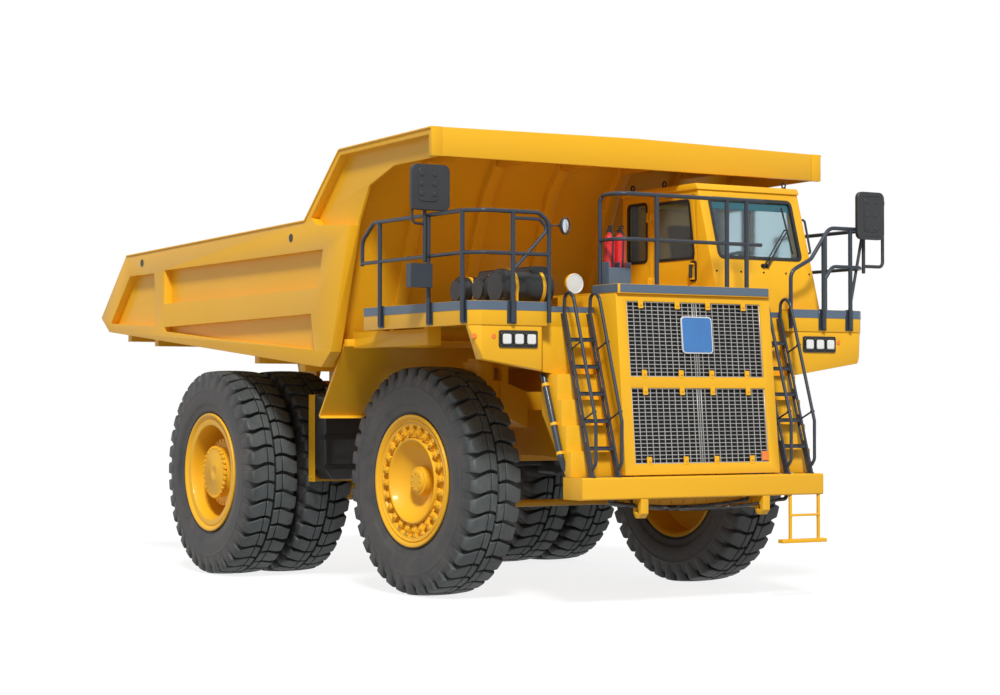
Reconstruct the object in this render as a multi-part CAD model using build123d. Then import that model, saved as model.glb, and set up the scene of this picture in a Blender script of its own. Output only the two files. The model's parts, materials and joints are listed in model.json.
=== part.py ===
from build123d import *
import math
import os

# Rigid mining dump truck of the 70 tonne class, standing empty on level ground with its body down.
# Millimetres. +X is forward, +Y is the truck's left, +Z is up, and Z = 0 is the ground.
# The origin lies on the ground, midway along the truck and on its centre line.

# Clearances
seat = 0.3
running_gap = 5.4

# Running gear
tyre_radius = 1240.0
tyre_width = 660.0
rim_radius = 690.0
flange_radius = 714.0
bead_depth = 67.0
sidewall_radius = 940.0
shoulder_step = 26.0
rim_fit = 0.5
rim_bore = 640.0
flange_width = 40.0
web_plate = 25.0
lip_height = 30.0
lip_width = 25.0
hub_back = 120.0
wheelbase = 3950.0
front_axle_x = 2500.0
rear_axle_x = front_axle_x - wheelbase
lug_count = 18
lug_share = 0.207
lug_depth = 75.0
lug_root_share = 0.27
lug_root_sink = 22.0
lug_inset = 4.0
centre_groove = 6.0
axle_z = tyre_radius * math.cos(math.radians(lug_share * 360.0 / lug_count))
front_tyre_y = 1773.0
rear_outer_tyre_y = 2318.0
dual_spacing = 720.0
rear_inner_tyre_y = rear_outer_tyre_y - dual_spacing
kingpin_y = 1180.0
rest_steer = 3.4
axle_tube = 225.0
rear_hub_radius = 430.0
spindle_radius = 120.0

# Frame
rail_in = 430.0
rail_out = 650.0
rail_bottom = 1500.0
rail_top = 2000.0
rail_rear_x = -2650.0
rail_front_x = 4700.0
cross_tube = 120.0
yoke_half = 1010.0
yoke_depth = 170.0
hanger_z = 1120.0
engine_rear_x = 2900.0

# Nose, measured back from the bumper's face
bumper_x = 5088.0
bumper_half = 1543.0
bumper_bottom = 1106.0
bumper_top = 1330.0
bumper_depth = 160.0
bumper_return = 350.0
bumper_plate = 20.0
eye_bore_x = bumper_x - 90.0
eye_bore_z = 990.0
eye_bore = 32.0
eye_y = 780.0
eye_half = 45.0
hood_half = 990.0
hood_rear_x = bumper_x - 1298.0
hood_bottom = bumper_top + 15.0
nose_top_x = bumper_x - 220.0
nose_bottom_x = bumper_x - 42.0
hood_wall = 30.0
grille_half = 858.0
upper_grille = (2343.0, 3114.0)
lower_grille = (1458.0, 2228.0)

# Ladders, whose heads stand in the bays of the decks
ladder_foot_x = bumper_x - 43.0
ladder_lean = 0.31
stringer_half = 40.0
deck_floor = 3000.0
ladder_head = deck_floor - 10.0
bay_x = ladder_foot_x - ladder_lean * (ladder_head - bumper_top) - stringer_half - seat

# Decks
deck_half = 2550.0
deck_front_x = bumper_x - 448.0
deck_rear_x = 2385.0
deck_chamfer = 110.0
bay_edge = {-1: 1640.0, 1: 1430.0}
deck_beams = (2560.0, 3300.0, 4000.0)
fascia_bottom = deck_floor - 147.0
toe_top = deck_floor + 94.0
centre_floor = deck_floor + 200.0
centre_toe_top = centre_floor + 90.0
walk_plate = 9.0
hood_top = centre_floor - walk_plate - seat
centre_front_x = bumper_x - 188.0
walk_rear_x = 2560.0
walk_half = 985.0
plate = 20.0
housing_depth = 150.0
housing_low = deck_floor - 629.0
housing_outer_low = deck_floor - 488.0
lamp_pitch = 145.0
lamp_half = 58.0
first_lamp = {-1: 1865.0, 1: 1725.0}

# Dump body, with its side profile in X and Z
body_half = 2559.0
side_skin = 30.0
rib_depth = 100.0
canopy_x = 3846.0
canopy_top = 4901.0
canopy_bottom = canopy_top - 302.0
canopy_rear_x = 1815.0
canopy_rear_z = canopy_top - 38.0
rail_front = (1017.0, canopy_top - 761.0)
tail_top = (-4218.0, canopy_top - 868.0)
tail_tip = (-5088.0, 3228.0)
tail_low = (-4807.0, 3032.0)
keel_front = (1404.0, 2475.0)
toe_front = (1630.0, 2641.0)
wall_knee = (2095.0, canopy_top - 838.0)
wall_turn = (2330.0, canopy_top - 481.0)
canopy_knee = (2881.0, canopy_top - 312.0)
floor_plate = 30.0
beam_y = (440.0, 640.0)
beam_bottom = rail_top + 10.0
pivot = (-2450.0, 2150.0)
pivot_pin = 70.0

# Cab, below the canopy
cab_right = 670.0
cab_left = 2050.0
cab_rear_x = 2620.0
cab_base_front_x = bumper_x - 628.0
cab_roof_front_x = bumper_x - 1068.0
cab_floor = deck_floor + seat
cab_top = canopy_bottom - 129.0
cab_height = cab_top - cab_floor
cab_wall = 45.0
cab_roof_depth = 70.0
sill_z = cab_floor + 0.449 * cab_height
head_z = cab_floor + 0.891 * cab_height
glass = 8.0

# Hoists: the barrel turns on the frame at hoist_foot and the rod carries the body at hoist_eye
hoist_y = 960.0
hoist_foot = (-1000.0, 1000.0)
hoist_eye = (900.0, 2250.0)
barrel_radius = 110.0
rod_radius = 62.0
eye_radius = 95.0
eye_width = 60.0
foot_pin = 55.0

# Ladders and guard rails
ladder_y = (1085.0, 1400.0)
handrail_x = bumper_x + 26.0
handrail_radius = 18.0
first_tread = bumper_top + 293.0
tread_pitch = 275.0
tread_count = 5
stair_count = 4
stair_gap = 90.0
hang_posts = (1117.0, 1498.0)
hang_low = 600.0
tube = 22.0
rail_z = deck_floor + 990.0
mid_z = deck_floor + 570.0
walk_rail_z = centre_floor + 1015.0
walk_mid_z = centre_floor + 550.0
right_posts = (2785.0, 3811.0, 4486.0)
left_rail_rear_x = 3000.0

# Grilles
grille_back = 45.0
grille_front = 10.0
grille_rim = 24.0
grille_bar = 14.0
divider_half = 12.0
grille_columns = 5
grille_rows = 8


def box(x0, x1, y0, y1, z0, z1):
    """Block between two corners, whose Y values may come in either order."""
    return Pos((x0 + x1) / 2, (y0 + y1) / 2, (z0 + z1) / 2) * Box(x1 - x0, abs(y1 - y0), z1 - z0)


def outline(points, radius=0.0):
    face = make_face(Polyline(*points, close=True))
    return fillet(face.vertices(), radius) if radius else face


def slab_xz(points, y0, y1, radius=0.0):
    return Pos(0, min(y0, y1), 0) * extrude(Plane.XZ * outline(points, radius), abs(y1 - y0), dir=(0, 1, 0))


def slab_yz(points, x0, x1, radius=0.0):
    return Pos(x0, 0, 0) * extrude(Plane.YZ * outline(points, radius), x1 - x0, dir=(1, 0, 0))


def slab_xy(points, z0, z1, radius=0.0):
    return Pos(0, 0, z0) * extrude(outline(points, radius), z1 - z0)


def bar(start, end, radius):
    a = Vector(*start)
    span = Vector(*end) - a
    return Plane(a, z_dir=span) * Cylinder(
        radius, span.length, align=(Align.CENTER, Align.CENTER, Align.MIN)
    )


def socket(start, end, radius, sides=16):
    """Flat-sided bore that lets a round pin of this radius turn in it."""
    a = Vector(*start)
    span = Vector(*end) - a
    section = Plane(a, z_dir=span) * RegularPolygon(radius + seat, sides, major_radius=False)
    return extrude(section, span.length)


def pipe(points, radius):
    """Mitred run of eight-sided tube."""
    start = Plane(Vector(*points[0]), z_dir=Vector(*points[1]) - Vector(*points[0]))
    return sweep(start * RegularPolygon(radius, 8), Polyline(*points), transition=Transition.RIGHT)


def flat_face(points):
    return Face(Wire.make_polygon(points))


def drum(levels, sides=lug_count):
    """Flat-sided turned shape about Y through (y, radius) levels."""
    rings = []
    for y, radius in levels:
        angles = [2 * math.pi * n / sides for n in range(sides)]
        rings.append([(radius * math.cos(a), y, radius * math.sin(a)) for a in angles])
    faces = [flat_face(rings[0]), flat_face(rings[-1])]
    for one, two in zip(rings, rings[1:]):
        for n in range(sides):
            after = (n + 1) % sides
            faces.append(flat_face([one[n], one[after], two[after], two[n]]))
    return Part() + Solid(Shell(faces))


parts = {}
sides_of_truck = (("right", -1), ("left", 1))


# Wheels. The front pair is steered a little to the left, as parked.
def lug_row(y0, y1, turn):
    """Ring of tread lugs, turned by a share of their pitch."""
    root = tyre_radius - lug_depth - lug_root_sink
    points = []
    for n in range(lug_count):
        for share, radius in (
            (-lug_root_share, root), (-lug_share, tyre_radius),
            (lug_share, tyre_radius), (lug_root_share, root),
        ):
            a = 2 * math.pi * (n + turn + share) / lug_count
            points.append((radius * math.cos(a), radius * math.sin(a)))
    return slab_xz(points, y0, y1)


def make_tyre():
    half = tyre_width / 2
    crown = tyre_radius - lug_depth
    crown_end = half - shoulder_step
    lug_end = crown_end - lug_inset
    bead = half - bead_depth
    tyre = drum([(-half, sidewall_radius), (-crown_end, crown), (crown_end, crown), (half, sidewall_radius)])
    tyre += lug_row(centre_groove, lug_end, 0.0)
    tyre += lug_row(-lug_end, -centre_groove, 0.5)
    return tyre - drum([
        (-half, sidewall_radius), (-bead, flange_radius + rim_fit), (-bead, rim_radius),
        (bead, rim_radius), (bead, flange_radius + rim_fit), (half, sidewall_radius),
    ])


def make_rim(face_y, lip_radius, hub_radius, hub_y, cover_radius, cover_y):
    """Rim that looks to +Y: barrel with two flanges, dished face, raised lip, hub and cover."""
    half = tyre_width / 2 - bead_depth + seat
    edge = half + flange_width
    rim = drum([
        (-edge, flange_radius), (-half - 1, flange_radius), (-half, rim_radius - rim_fit),
        (half, rim_radius - rim_fit), (half + 1, flange_radius), (edge, flange_radius),
    ])
    rim -= drum([(-edge - 1, rim_bore), (face_y - web_plate, rim_bore - 20)])
    rim -= drum([(face_y, lip_radius), (edge + 1, rim_bore)])
    rim += drum([(face_y - 1, lip_radius + 1), (face_y + lip_height, lip_radius)])
    rim -= drum([(face_y + 1, lip_radius - lip_width), (face_y + lip_height + 1, lip_radius - lip_width)])
    rim += drum([(face_y - hub_back, hub_radius), (hub_y, hub_radius - 15), (hub_y + 1, cover_radius),
                 (cover_y, cover_radius - 20)])
    return rim


def front_corner(solid, side):
    """Carries a piece made round the origin's kingpin to a front corner, with its steer."""
    return Pos(front_axle_x, side * kingpin_y, 0) * Rot(0, 0, rest_steer) * solid


def facing(solid, side):
    """A wheel piece made to look to +Y, turned to look outwards on this side."""
    return solid if side > 0 else Rot(0, 0, 180) * solid


tyre = make_tyre()
front_rim = make_rim(60.0, 430.0, 250.0, 150.0, 190.0, 205.0)
rear_rim = make_rim(-150.0, 470.0, 340.0, 30.0, 300.0, 85.0)
inner_rim = make_rim(-60.0, 470.0, 340.0, 30.0, 300.0, 85.0)
spindle_reach = front_tyre_y - kingpin_y + 20
for name, side in sides_of_truck:
    wheel_at = Pos(0, side * (front_tyre_y - kingpin_y), axle_z)
    parts[f"tyre_front_{name}"] = front_corner(wheel_at * facing(tyre, side), side)
    rim = wheel_at * facing(front_rim, side)
    rim -= socket((0, 0, axle_z), (0, side * spindle_reach, axle_z), spindle_radius)
    parts[f"rim_front_{name}"] = front_corner(rim, side)

    outer_at = Pos(rear_axle_x, side * rear_outer_tyre_y, axle_z)
    inner_at = Pos(rear_axle_x, side * rear_inner_tyre_y, axle_z)
    turned = facing(tyre, side)
    parts[f"tyres_rear_{name}"] = Compound(children=[outer_at * turned, inner_at * turned])
    axle_at = Pos(rear_axle_x, 0, axle_z)
    hub_from = side * (rear_inner_tyre_y - 60)
    hub_to = side * (rear_outer_tyre_y - 160)
    hub = axle_at * drum([(min(hub_from, hub_to), rear_hub_radius),
        (max(hub_from, hub_to), rear_hub_radius)])
    rims = outer_at * facing(rear_rim, side) + inner_at * facing(inner_rim, -side) + hub
    bore_end = side * (rear_outer_tyre_y - 200)
    rims -= socket((rear_axle_x, side * 1100, axle_z), (rear_axle_x, bore_end, axle_z), axle_tube,
        lug_count)
    parts[f"rims_rear_{name}"] = rims


# Frame: two box rails with cross tubes, rear pivot ears, hoist feet and the beam over the front wheels
def make_frame():
    frame = None
    rail = [
        (rail_rear_x, rail_bottom + 140), (rail_rear_x + 450, rail_bottom),
        (rail_front_x - 1700, rail_bottom),
        (rail_front_x, rail_bottom - 155), (rail_front_x, rail_top - 240), (rail_front_x - 1400, rail_top),
        (pivot[0] + 270, rail_top), (pivot[0] + 120, pivot[1] + 120), (rail_rear_x, pivot[1] + 120),
    ]
    for side in (1, -1):
        solid = slab_xz(rail, side * rail_in, side * rail_out)
        frame = solid if frame is None else frame + solid
    for x, z, radius in (
        (pivot[0], pivot[1] - 10, cross_tube), (-800, 1750, cross_tube), (600, 1790, cross_tube - 10),
        (rail_front_x - 100, 1540, cross_tube - 25),
    ):
        frame += bar((x, -rail_in - 5, z), (x, rail_in + 5, z), radius)
    # Yoke over the front wheels, which carries the two struts
    low = rail_top - 200
    frame += slab_yz([
        (-yoke_half, 2330), (-yoke_half, 1960), (-rail_out, low), (rail_out, low), (yoke_half, 1960),
        (yoke_half, 2330), (rail_out, rail_top + 200), (-rail_out, rail_top + 200),
    ], front_axle_x - yoke_depth, front_axle_x + yoke_depth)
    for side in (1, -1):
        frame += bar((pivot[0], side * (rail_out - 20), pivot[1]), (pivot[0], side * 800, pivot[1]),
            pivot_pin)
        # Hoist foot: a bracket below the rail with the pin that the barrel turns on
        foot_x, foot_z = hoist_foot
        plate_y = hoist_y - barrel_radius - 25
        frame += box(foot_x - 120, foot_x + 120, side * (rail_out - 5), side * plate_y,
                     rail_bottom + 5, rail_bottom + 140)
        frame += slab_xz([
            (foot_x - 110, rail_bottom + 140), (foot_x - 110, foot_z), (foot_x - 70, foot_z - 100),
            (foot_x + 70, foot_z - 100), (foot_x + 110, foot_z), (foot_x + 110, rail_bottom + 140),
        ], side * (plate_y - 60), side * plate_y)
        frame += bar((foot_x, side * (plate_y - 10), foot_z), (foot_x, side * (hoist_y + 100), foot_z),
            foot_pin)
        # Hanger for the nose of the rear axle's wishbone
        frame += box(500, 700, side * (rail_in - 50), side * (rail_in + 10), hanger_z, rail_bottom + 210)
        # Leg that carries the rear of the cab or of the centre walkway
        leg_top = deck_floor if side > 0 else centre_floor - walk_plate - seat
        frame += box(walk_rear_x + 30, walk_rear_x + 110, side * 900, side * 980, rail_top + 200, leg_top)
    frame += box(500, 700, -rail_in + 20, rail_in - 20, hanger_z - 60, hanger_z + 10)
    return frame


parts["frame"] = make_frame()


# Bumper: a folded channel with side returns, two arms to the rails and two tow eyes
def make_bumper():
    rear = bumper_x - bumper_depth
    bumper = slab_xz([
        (rear, bumper_bottom), (bumper_x, bumper_bottom), (bumper_x, bumper_top), (rear, bumper_top),
    ], -bumper_half, bumper_half)
    bumper = fillet(bumper.edges().filter_by(Axis.Y).group_by(Axis.X)[-1], bumper_plate)
    bumper -= box(rear - 1, bumper_x - bumper_plate, -bumper_half + bumper_plate,
        bumper_half - bumper_plate,
                  bumper_bottom + bumper_plate, bumper_top - bumper_plate)
    for side in (1, -1):
        end = side * bumper_half
        bumper += box(bumper_x - bumper_return, rear + 1, end, end - side * 120, bumper_bottom, bumper_top)
        eye = slab_xz([
            (eye_bore_x - 60, bumper_bottom + 4), (eye_bore_x + 80, bumper_bottom + 4),
            (eye_bore_x + 80, eye_bore_z - 30),
            (eye_bore_x + 30, eye_bore_z - 80), (eye_bore_x - 20, eye_bore_z - 80),
            (eye_bore_x - 60, eye_bore_z - 30),
        ], side * eye_y - eye_half, side * eye_y + eye_half)
        hole = Pos(eye_bore_x, side * eye_y, eye_bore_z) * Rot(90, 0, 0) * Cylinder(eye_bore, 3 * eye_half)
        bumper += eye - hole
        bumper += box(rail_front_x + 1, bumper_x - 10, side * rail_in, side * rail_out,
                      bumper_bottom + 44, bumper_top - 10)
        bumper += box(rail_front_x + 1, rail_front_x + 80, side * rail_in, side * rail_out,
                      bumper_bottom + 44, rail_top - 300)
    # Tow beam between the arms
    bumper += box(rail_front_x + 60, rail_front_x + 160, -rail_in - 5, rail_in + 5,
                  bumper_bottom + 44, bumper_bottom + 144)
    return bumper


parts["bumper"] = make_bumper()


def nose_x(z):
    share = (z - hood_bottom) / (hood_top - hood_bottom)
    return nose_bottom_x + (nose_top_x - nose_bottom_x) * share


# Hood: an open box behind the grilles
def make_hood():
    top = hood_top
    lift = 650
    hood = slab_xz([
        (hood_rear_x, hood_bottom + lift), (hood_rear_x + 500, hood_bottom),
        (nose_x(hood_bottom), hood_bottom),
        (nose_x(top), top), (hood_rear_x, top),
    ], -hood_half, hood_half)
    hood -= slab_xz([
        (hood_rear_x - 10, hood_bottom + lift - 50), (hood_rear_x + 460, hood_bottom - 10),
        (nose_x(hood_bottom) - 70, hood_bottom - 10), (nose_x(top) - 70, top - hood_wall),
        (hood_rear_x - 10, top - hood_wall),
    ], -hood_half + hood_wall, hood_half - hood_wall)
    for z0, z1 in (upper_grille, lower_grille):
        hood -= box(nose_top_x - 200, nose_bottom_x + 100, -grille_half, grille_half, z0, z1)
    # The cab stands in the rear left corner
    hood -= box(hood_rear_x - 20, cab_base_front_x + 20, cab_right - 30, hood_half + 10,
                deck_floor - 20, hood_top + 100)
    return hood


parts["hood"] = make_hood()


# Grilles: open panels of slats and bars with a centre divider, standing in their openings
def make_grille(z0, z1):
    def plane_x(z, back):
        return nose_x(z) - back

    def sheet(z_low, z_high, y0, y1, back, front):
        return slab_xz([
            (plane_x(z_low, back), z_low), (plane_x(z_low, front), z_low),
            (plane_x(z_high, front), z_high), (plane_x(z_high, back), z_high),
        ], y0, y1)

    low, high = z0 + seat, z1 - seat
    half = grille_half - seat
    panel = sheet(low, high, -half, half, grille_back, grille_front)
    bay_width = (half - grille_rim - divider_half) / grille_columns
    bay_height = (high - low - 2 * grille_rim) / grille_rows
    for row in range(grille_rows):
        bay_low = low + grille_rim + row * bay_height + grille_bar / 2
        bay_high = low + grille_rim + (row + 1) * bay_height - grille_bar / 2
        for side in (1, -1):
            for column in range(grille_columns):
                inner = divider_half + column * bay_width + grille_bar / 2
                outer = divider_half + (column + 1) * bay_width - grille_bar / 2
                panel -= sheet(bay_low, bay_high, side * inner, side * outer, grille_back + 20,
                    grille_front - 20)
    return panel


parts["grilles"] = Compound(children=[make_grille(*upper_grille), make_grille(*lower_grille)])


# Engine with its radiator, and the transmission with its shafts, as plain blocks
power_unit = box(engine_rear_x + 1580, engine_rear_x + 1860, -820, 820, 1830, deck_floor + 80)
power_unit += box(engine_rear_x, engine_rear_x + 1590, -rail_in + seat, rail_in - seat, 1560, 2700)
power_unit += box(engine_rear_x + 500, engine_rear_x + 1590, -620, 620, rail_top + 10, 2750)
parts["power_unit"] = power_unit
gearbox = box(900, 2100, -380, 380, 1420, 1960)
gearbox += box(1400, 1600, -rail_in + seat, rail_in - seat, 1600, 1720)
gearbox += bar((2080, 0, 1700), (engine_rear_x - seat, 0, 1700), 90)
drive_start, drive_end = (910, 0, 1600), (rear_axle_x + 405, 0, axle_z + 73)
drive_way = (Vector(*drive_start) - Vector(*drive_end)).normalized()
gearbox += bar(drive_start, drive_end, 70)
parts["transmission"] = gearbox


# Decks: floor, toe-board and fascia, with a bay at the front that the ladder climbs into
def make_deck(side):
    bay_y = side * bay_edge[side]
    inner_y = side * (hood_half + seat)
    outer_y = side * deck_half
    skin = side * plate
    corner_y = side * (deck_half - deck_chamfer)
    corner_x = deck_front_x - deck_chamfer
    edge = [
        (deck_rear_x, inner_y), (bay_x, inner_y), (bay_x, bay_y), (deck_front_x, bay_y),
        (deck_front_x, corner_y), (corner_x, outer_y), (deck_rear_x, outer_y),
    ]
    inside = [
        (deck_rear_x - 1, inner_y - skin), (bay_x, inner_y - skin), (bay_x, bay_y + skin),
        (deck_front_x - plate, bay_y + skin), (deck_front_x - plate, corner_y - 0.414 * skin),
        (corner_x - 0.414 * plate, outer_y - skin), (deck_rear_x - 1, outer_y - skin),
    ]
    deck = slab_xy(edge, deck_floor - plate, deck_floor)
    deck += slab_xy(edge, fascia_bottom, toe_top) - slab_xy(inside, fascia_bottom - 1, toe_top + 1)
    deck += box(bay_x - plate, bay_x, inner_y, bay_y + skin, fascia_bottom, deck_floor)
    deck += box(deck_rear_x, deck_rear_x + plate, inner_y, outer_y, fascia_bottom, deck_floor)
    for x in deck_beams:
        deck += box(x - 40, x + 40, inner_y, outer_y, fascia_bottom + 47, deck_floor - plate + 1)
    return deck


for name, side in sides_of_truck:
    parts[f"deck_{name}"] = make_deck(side)
# Round lamp on a stalk, beside the head of the right ladder
lamp_x, lamp_y, lamp_z = bay_x - 60, -1210, deck_floor + 300
parts["deck_right"] += bar((lamp_x, lamp_y, deck_floor - 5), (lamp_x, lamp_y, lamp_z), 14)
parts["deck_right"] += bar((lamp_x - 12, lamp_y, lamp_z), (lamp_x + 22, lamp_y, lamp_z), 106)

front_x, rear_x = centre_front_x, walk_rear_x
kick_inner = walk_half - plate
centre = slab_xy([
    (rear_x, -walk_half), (front_x, -walk_half), (front_x, walk_half), (bay_x + seat, walk_half),
    (bay_x + seat, cab_right - 30), (rear_x, cab_right - 30),
], centre_floor - walk_plate, centre_floor + 10)
centre += slab_xy([
    (bay_x - 50, -walk_half), (front_x, -walk_half), (front_x, walk_half), (bay_x + seat, walk_half),
    (bay_x + seat, kick_inner), (front_x - plate, kick_inner), (front_x - plate, -kick_inner),
    (bay_x - 50, -kick_inner),
], centre_floor - walk_plate, centre_toe_top)
parts["deck_centre"] = centre


# Lamp housings below the deck fronts: a prism that tapers outwards, with a row of three lamps
def make_lamp_housing(side):
    top = fascia_bottom - seat
    back_x = deck_front_x - housing_depth
    bay_front = bay_x + 10
    plan = slab_xy([
        (back_x, side * (hood_half + seat)), (bay_front, side * (hood_half + seat)),
        (bay_front, side * (bay_edge[side] - 10)), (deck_front_x - 10, side * (bay_edge[side] + 90)),
        (deck_front_x - 10, side * (deck_half - deck_chamfer)),
        (deck_front_x - deck_chamfer, side * (deck_half - 10)),
        (back_x, side * (deck_half - 10)),
    ], housing_low - 1, top)
    face = slab_yz([
        (side * hood_half, top), (side * hood_half, housing_low), (side * 1500, housing_low),
        (side * (deck_half - 130), housing_outer_low), (side * (deck_half - 10), top),
    ], back_x - 1, deck_front_x)
    housing = plan & face
    for k in range(3):
        y = side * (first_lamp[side] + k * lamp_pitch)
        lamp_z = fascia_bottom - 138
        housing += box(deck_front_x - 11, deck_front_x + 12, y - lamp_half, y + lamp_half,
                       lamp_z - lamp_half, lamp_z + lamp_half)
    return housing


parts["lamp_housings"] = Compound(children=[make_lamp_housing(side) for side in (-1, 1)])


def ladder_x(z):
    """Middle of a ladder's stringers at this height."""
    return ladder_foot_x - ladder_lean * (z - bumper_top)


# Stepped panels behind the ladders, from the bumper up to the decks
def make_step_panel(side):
    low = bumper_top + seat
    rise = (housing_low - seat - low) / stair_count
    back_x = deck_front_x - housing_depth - 160
    points = [(back_x, housing_low - seat)]
    for k in range(stair_count):
        top = low + (stair_count - k) * rise
        front = ladder_x(top) - stair_gap
        points += [(front, top), (front, top - rise)]
    points += [(ladder_x(low) - stair_gap - 180, low), (back_x, low + 650)]
    return slab_xz(points, side * (hood_half + seat), side * (bumper_half - 3))


parts["step_panels"] = Compound(children=[make_step_panel(side) for side in (-1, 1)])


# Ladders with slotted stringers, five treads and two hooped handrails
def make_ladder(side):
    foot_z, head = bumper_top + seat, ladder_head
    ladder = None
    for y in ladder_y:
        stringer = slab_xz([
            (ladder_x(foot_z) - stringer_half, foot_z), (ladder_x(foot_z) + stringer_half, foot_z),
            (ladder_x(head) + stringer_half, head), (ladder_x(head) - stringer_half, head),
        ], side * y - 12, side * y + 12)
        for k in range(tread_count - 1):
            z = first_tread + (k + 0.5) * tread_pitch
            stringer -= slab_xz([
                (ladder_x(z - 80) - 18, z - 80), (ladder_x(z - 80) + 18, z - 80),
                (ladder_x(z + 80) + 18, z + 80), (ladder_x(z + 80) - 18, z + 80),
            ], side * y - 20, side * y + 20)
        ladder = stringer if ladder is None else ladder + stringer
        top = deck_floor
        ladder += pipe([
            (ladder_x(foot_z) + 20, side * y, foot_z + 90), (handrail_x, side * y, foot_z + 150),
            (handrail_x, side * y, foot_z + 560), (ladder_x(top) + 190, side * y, top + 140),
            (ladder_x(top) + 105, side * y, top + 215), (ladder_x(top) + 25, side * y, top + 160),
            (ladder_x(top) + 15, side * y, top - 40),
        ], handrail_radius)
    for k in range(tread_count):
        z = first_tread + k * tread_pitch
        ladder += box(ladder_x(z) - 35, ladder_x(z) + 30, side * (ladder_y[0] - 5),
            side * (ladder_y[1] + 5), z - 12, z + 12)
    return ladder


for name, side in sides_of_truck:
    parts[f"ladder_{name}"] = make_ladder(side)

# Hanging step below the bumper's left end
hang_top = bumper_bottom - seat
hanging = None
for y in hang_posts:
    leg = box(bumper_x - 48, bumper_x - 18, y - 15, y + 15, hang_low + 20, hang_top)
    hanging = leg if hanging is None else hanging + leg
hanging += box(bumper_x - 53, bumper_x - 13, hang_posts[0] - 10, hang_posts[1] + 10, hang_low + 280,
    hang_low + 305)
hanging += slab_xy([
    (bumper_x - 98, hang_posts[0] - 120), (bumper_x - 3, hang_posts[0] - 120),
    (bumper_x - 3, hang_posts[1] + 100),
    (bumper_x - 98, hang_posts[1] + 100),
], hang_low, hang_low + 40, 15)
parts["hanging_step"] = hanging


# Guard rails of tube, whose posts stand on the decks' sides
def post(x, y, z0, z1):
    return pipe([(x, y, z0), (x, y, z1)], tube + 2)


mid_tube = tube - 2
side_rail_y = deck_half + tube + 2 + seat
front_rail_x = deck_front_x + tube + 2 + seat
post_foot = fascia_bottom + 30
corner = deck_chamfer + 50
loop_y = -bay_edge[-1] - tube
rear_post_x = deck_rear_x + 10

y = -side_rail_y
rails = pipe([
    (rear_post_x, y, mid_z - 30), (rear_post_x, y, rail_z - 180), (rear_post_x + 260, y, rail_z),
    (front_rail_x - corner, y, rail_z), (front_rail_x, y + corner, rail_z),
    (front_rail_x, loop_y - 120, rail_z), (front_rail_x, loop_y, rail_z - 90),
    (front_rail_x, loop_y, post_foot),
], tube)
for x in right_posts:
    rails += post(x, y, post_foot, rail_z - 5)
rails += post(front_rail_x, loop_y - 430, post_foot, rail_z - 5)
rails += pipe([
    (rear_post_x, y, mid_z), (front_rail_x - corner, y, mid_z), (front_rail_x, y + corner, mid_z),
    (front_rail_x, loop_y - 2, mid_z),
], mid_tube)
# A bent grab rail beside the ladder's head, a round mirror, and a slate box on the middle post
grab_y = loop_y - 38
rails += pipe([
    (front_rail_x, loop_y - 428, rail_z - 66), (front_rail_x, grab_y - 70, rail_z - 66),
    (front_rail_x, grab_y, rail_z - 140), (front_rail_x, grab_y, rail_z - 190),
    (front_rail_x, loop_y - 428, rail_z - 590),
], mid_tube - 2)
mirror_y, mirror_z = loop_y + 195, rail_z - 123
rails += bar((front_rail_x, loop_y, mirror_z), (front_rail_x, mirror_y, mirror_z), 9)
rails += bar((front_rail_x - 8, mirror_y, mirror_z), (front_rail_x + 14, mirror_y, mirror_z), 92)
rails += box(right_posts[1] + 9, right_posts[1] + 109, -2840, -side_rail_y - 11, deck_floor + 245,
    deck_floor + 489)
parts["railing_right"] = rails

walk_rail_x = centre_front_x - plate - tube - 2 - seat
walk_rail_y = plate + tube + 2 + seat - walk_half
low = centre_floor + 10 + seat
start_x = bay_x + 25
end_y = cab_right + 250
rails = pipe([
    (start_x, walk_rail_y, low), (start_x, walk_rail_y, walk_rail_z - 50),
    (start_x + 60, walk_rail_y, walk_rail_z),
    (walk_rail_x - 90, walk_rail_y, walk_rail_z), (walk_rail_x, walk_rail_y + 90, walk_rail_z),
    (walk_rail_x, end_y, walk_rail_z),
], tube)
rails += pipe([
    (start_x + 2, walk_rail_y, walk_mid_z), (walk_rail_x - 90, walk_rail_y, walk_mid_z),
    (walk_rail_x, walk_rail_y + 90, walk_mid_z), (walk_rail_x, end_y - 22, walk_mid_z),
], mid_tube)
for y in (-466, 440, end_y - 40):
    rails += post(walk_rail_x, y, low, walk_rail_z - 5)
parts["railing_centre"] = rails

y = side_rail_y
first_y = bay_edge[1] + tube
rails = pipe([
    (front_rail_x, first_y, post_foot), (front_rail_x, first_y, rail_z - 490),
    (front_rail_x, first_y + 280, rail_z - 350), (front_rail_x, first_y + 540, rail_z),
    (front_rail_x, y - corner, rail_z), (front_rail_x - corner, y, rail_z), (left_rail_rear_x, y, rail_z),
], tube)
for x, post_y, top in (
    (front_rail_x, first_y + 458, rail_z - 115), (front_rail_x, deck_half - 260, rail_z - 5),
    (left_rail_rear_x + 900, y, rail_z - 5), (left_rail_rear_x + 20, y, rail_z - 5),
):
    rails += post(x, post_y, post_foot, top)
rails += pipe([
    (front_rail_x, first_y + 460, mid_z - 170), (front_rail_x, first_y + 580, mid_z),
    (front_rail_x, y - corner, mid_z), (front_rail_x - corner, y, mid_z), (left_rail_rear_x + 22, y, mid_z),
], mid_tube)
parts["railing_left"] = rails


# Cab: floor, four walls with rounded window openings, and a door in its right side
def cab_front_x(z):
    share = (z - cab_floor) / cab_height
    return cab_base_front_x + (cab_roof_front_x - cab_base_front_x) * share


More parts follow.
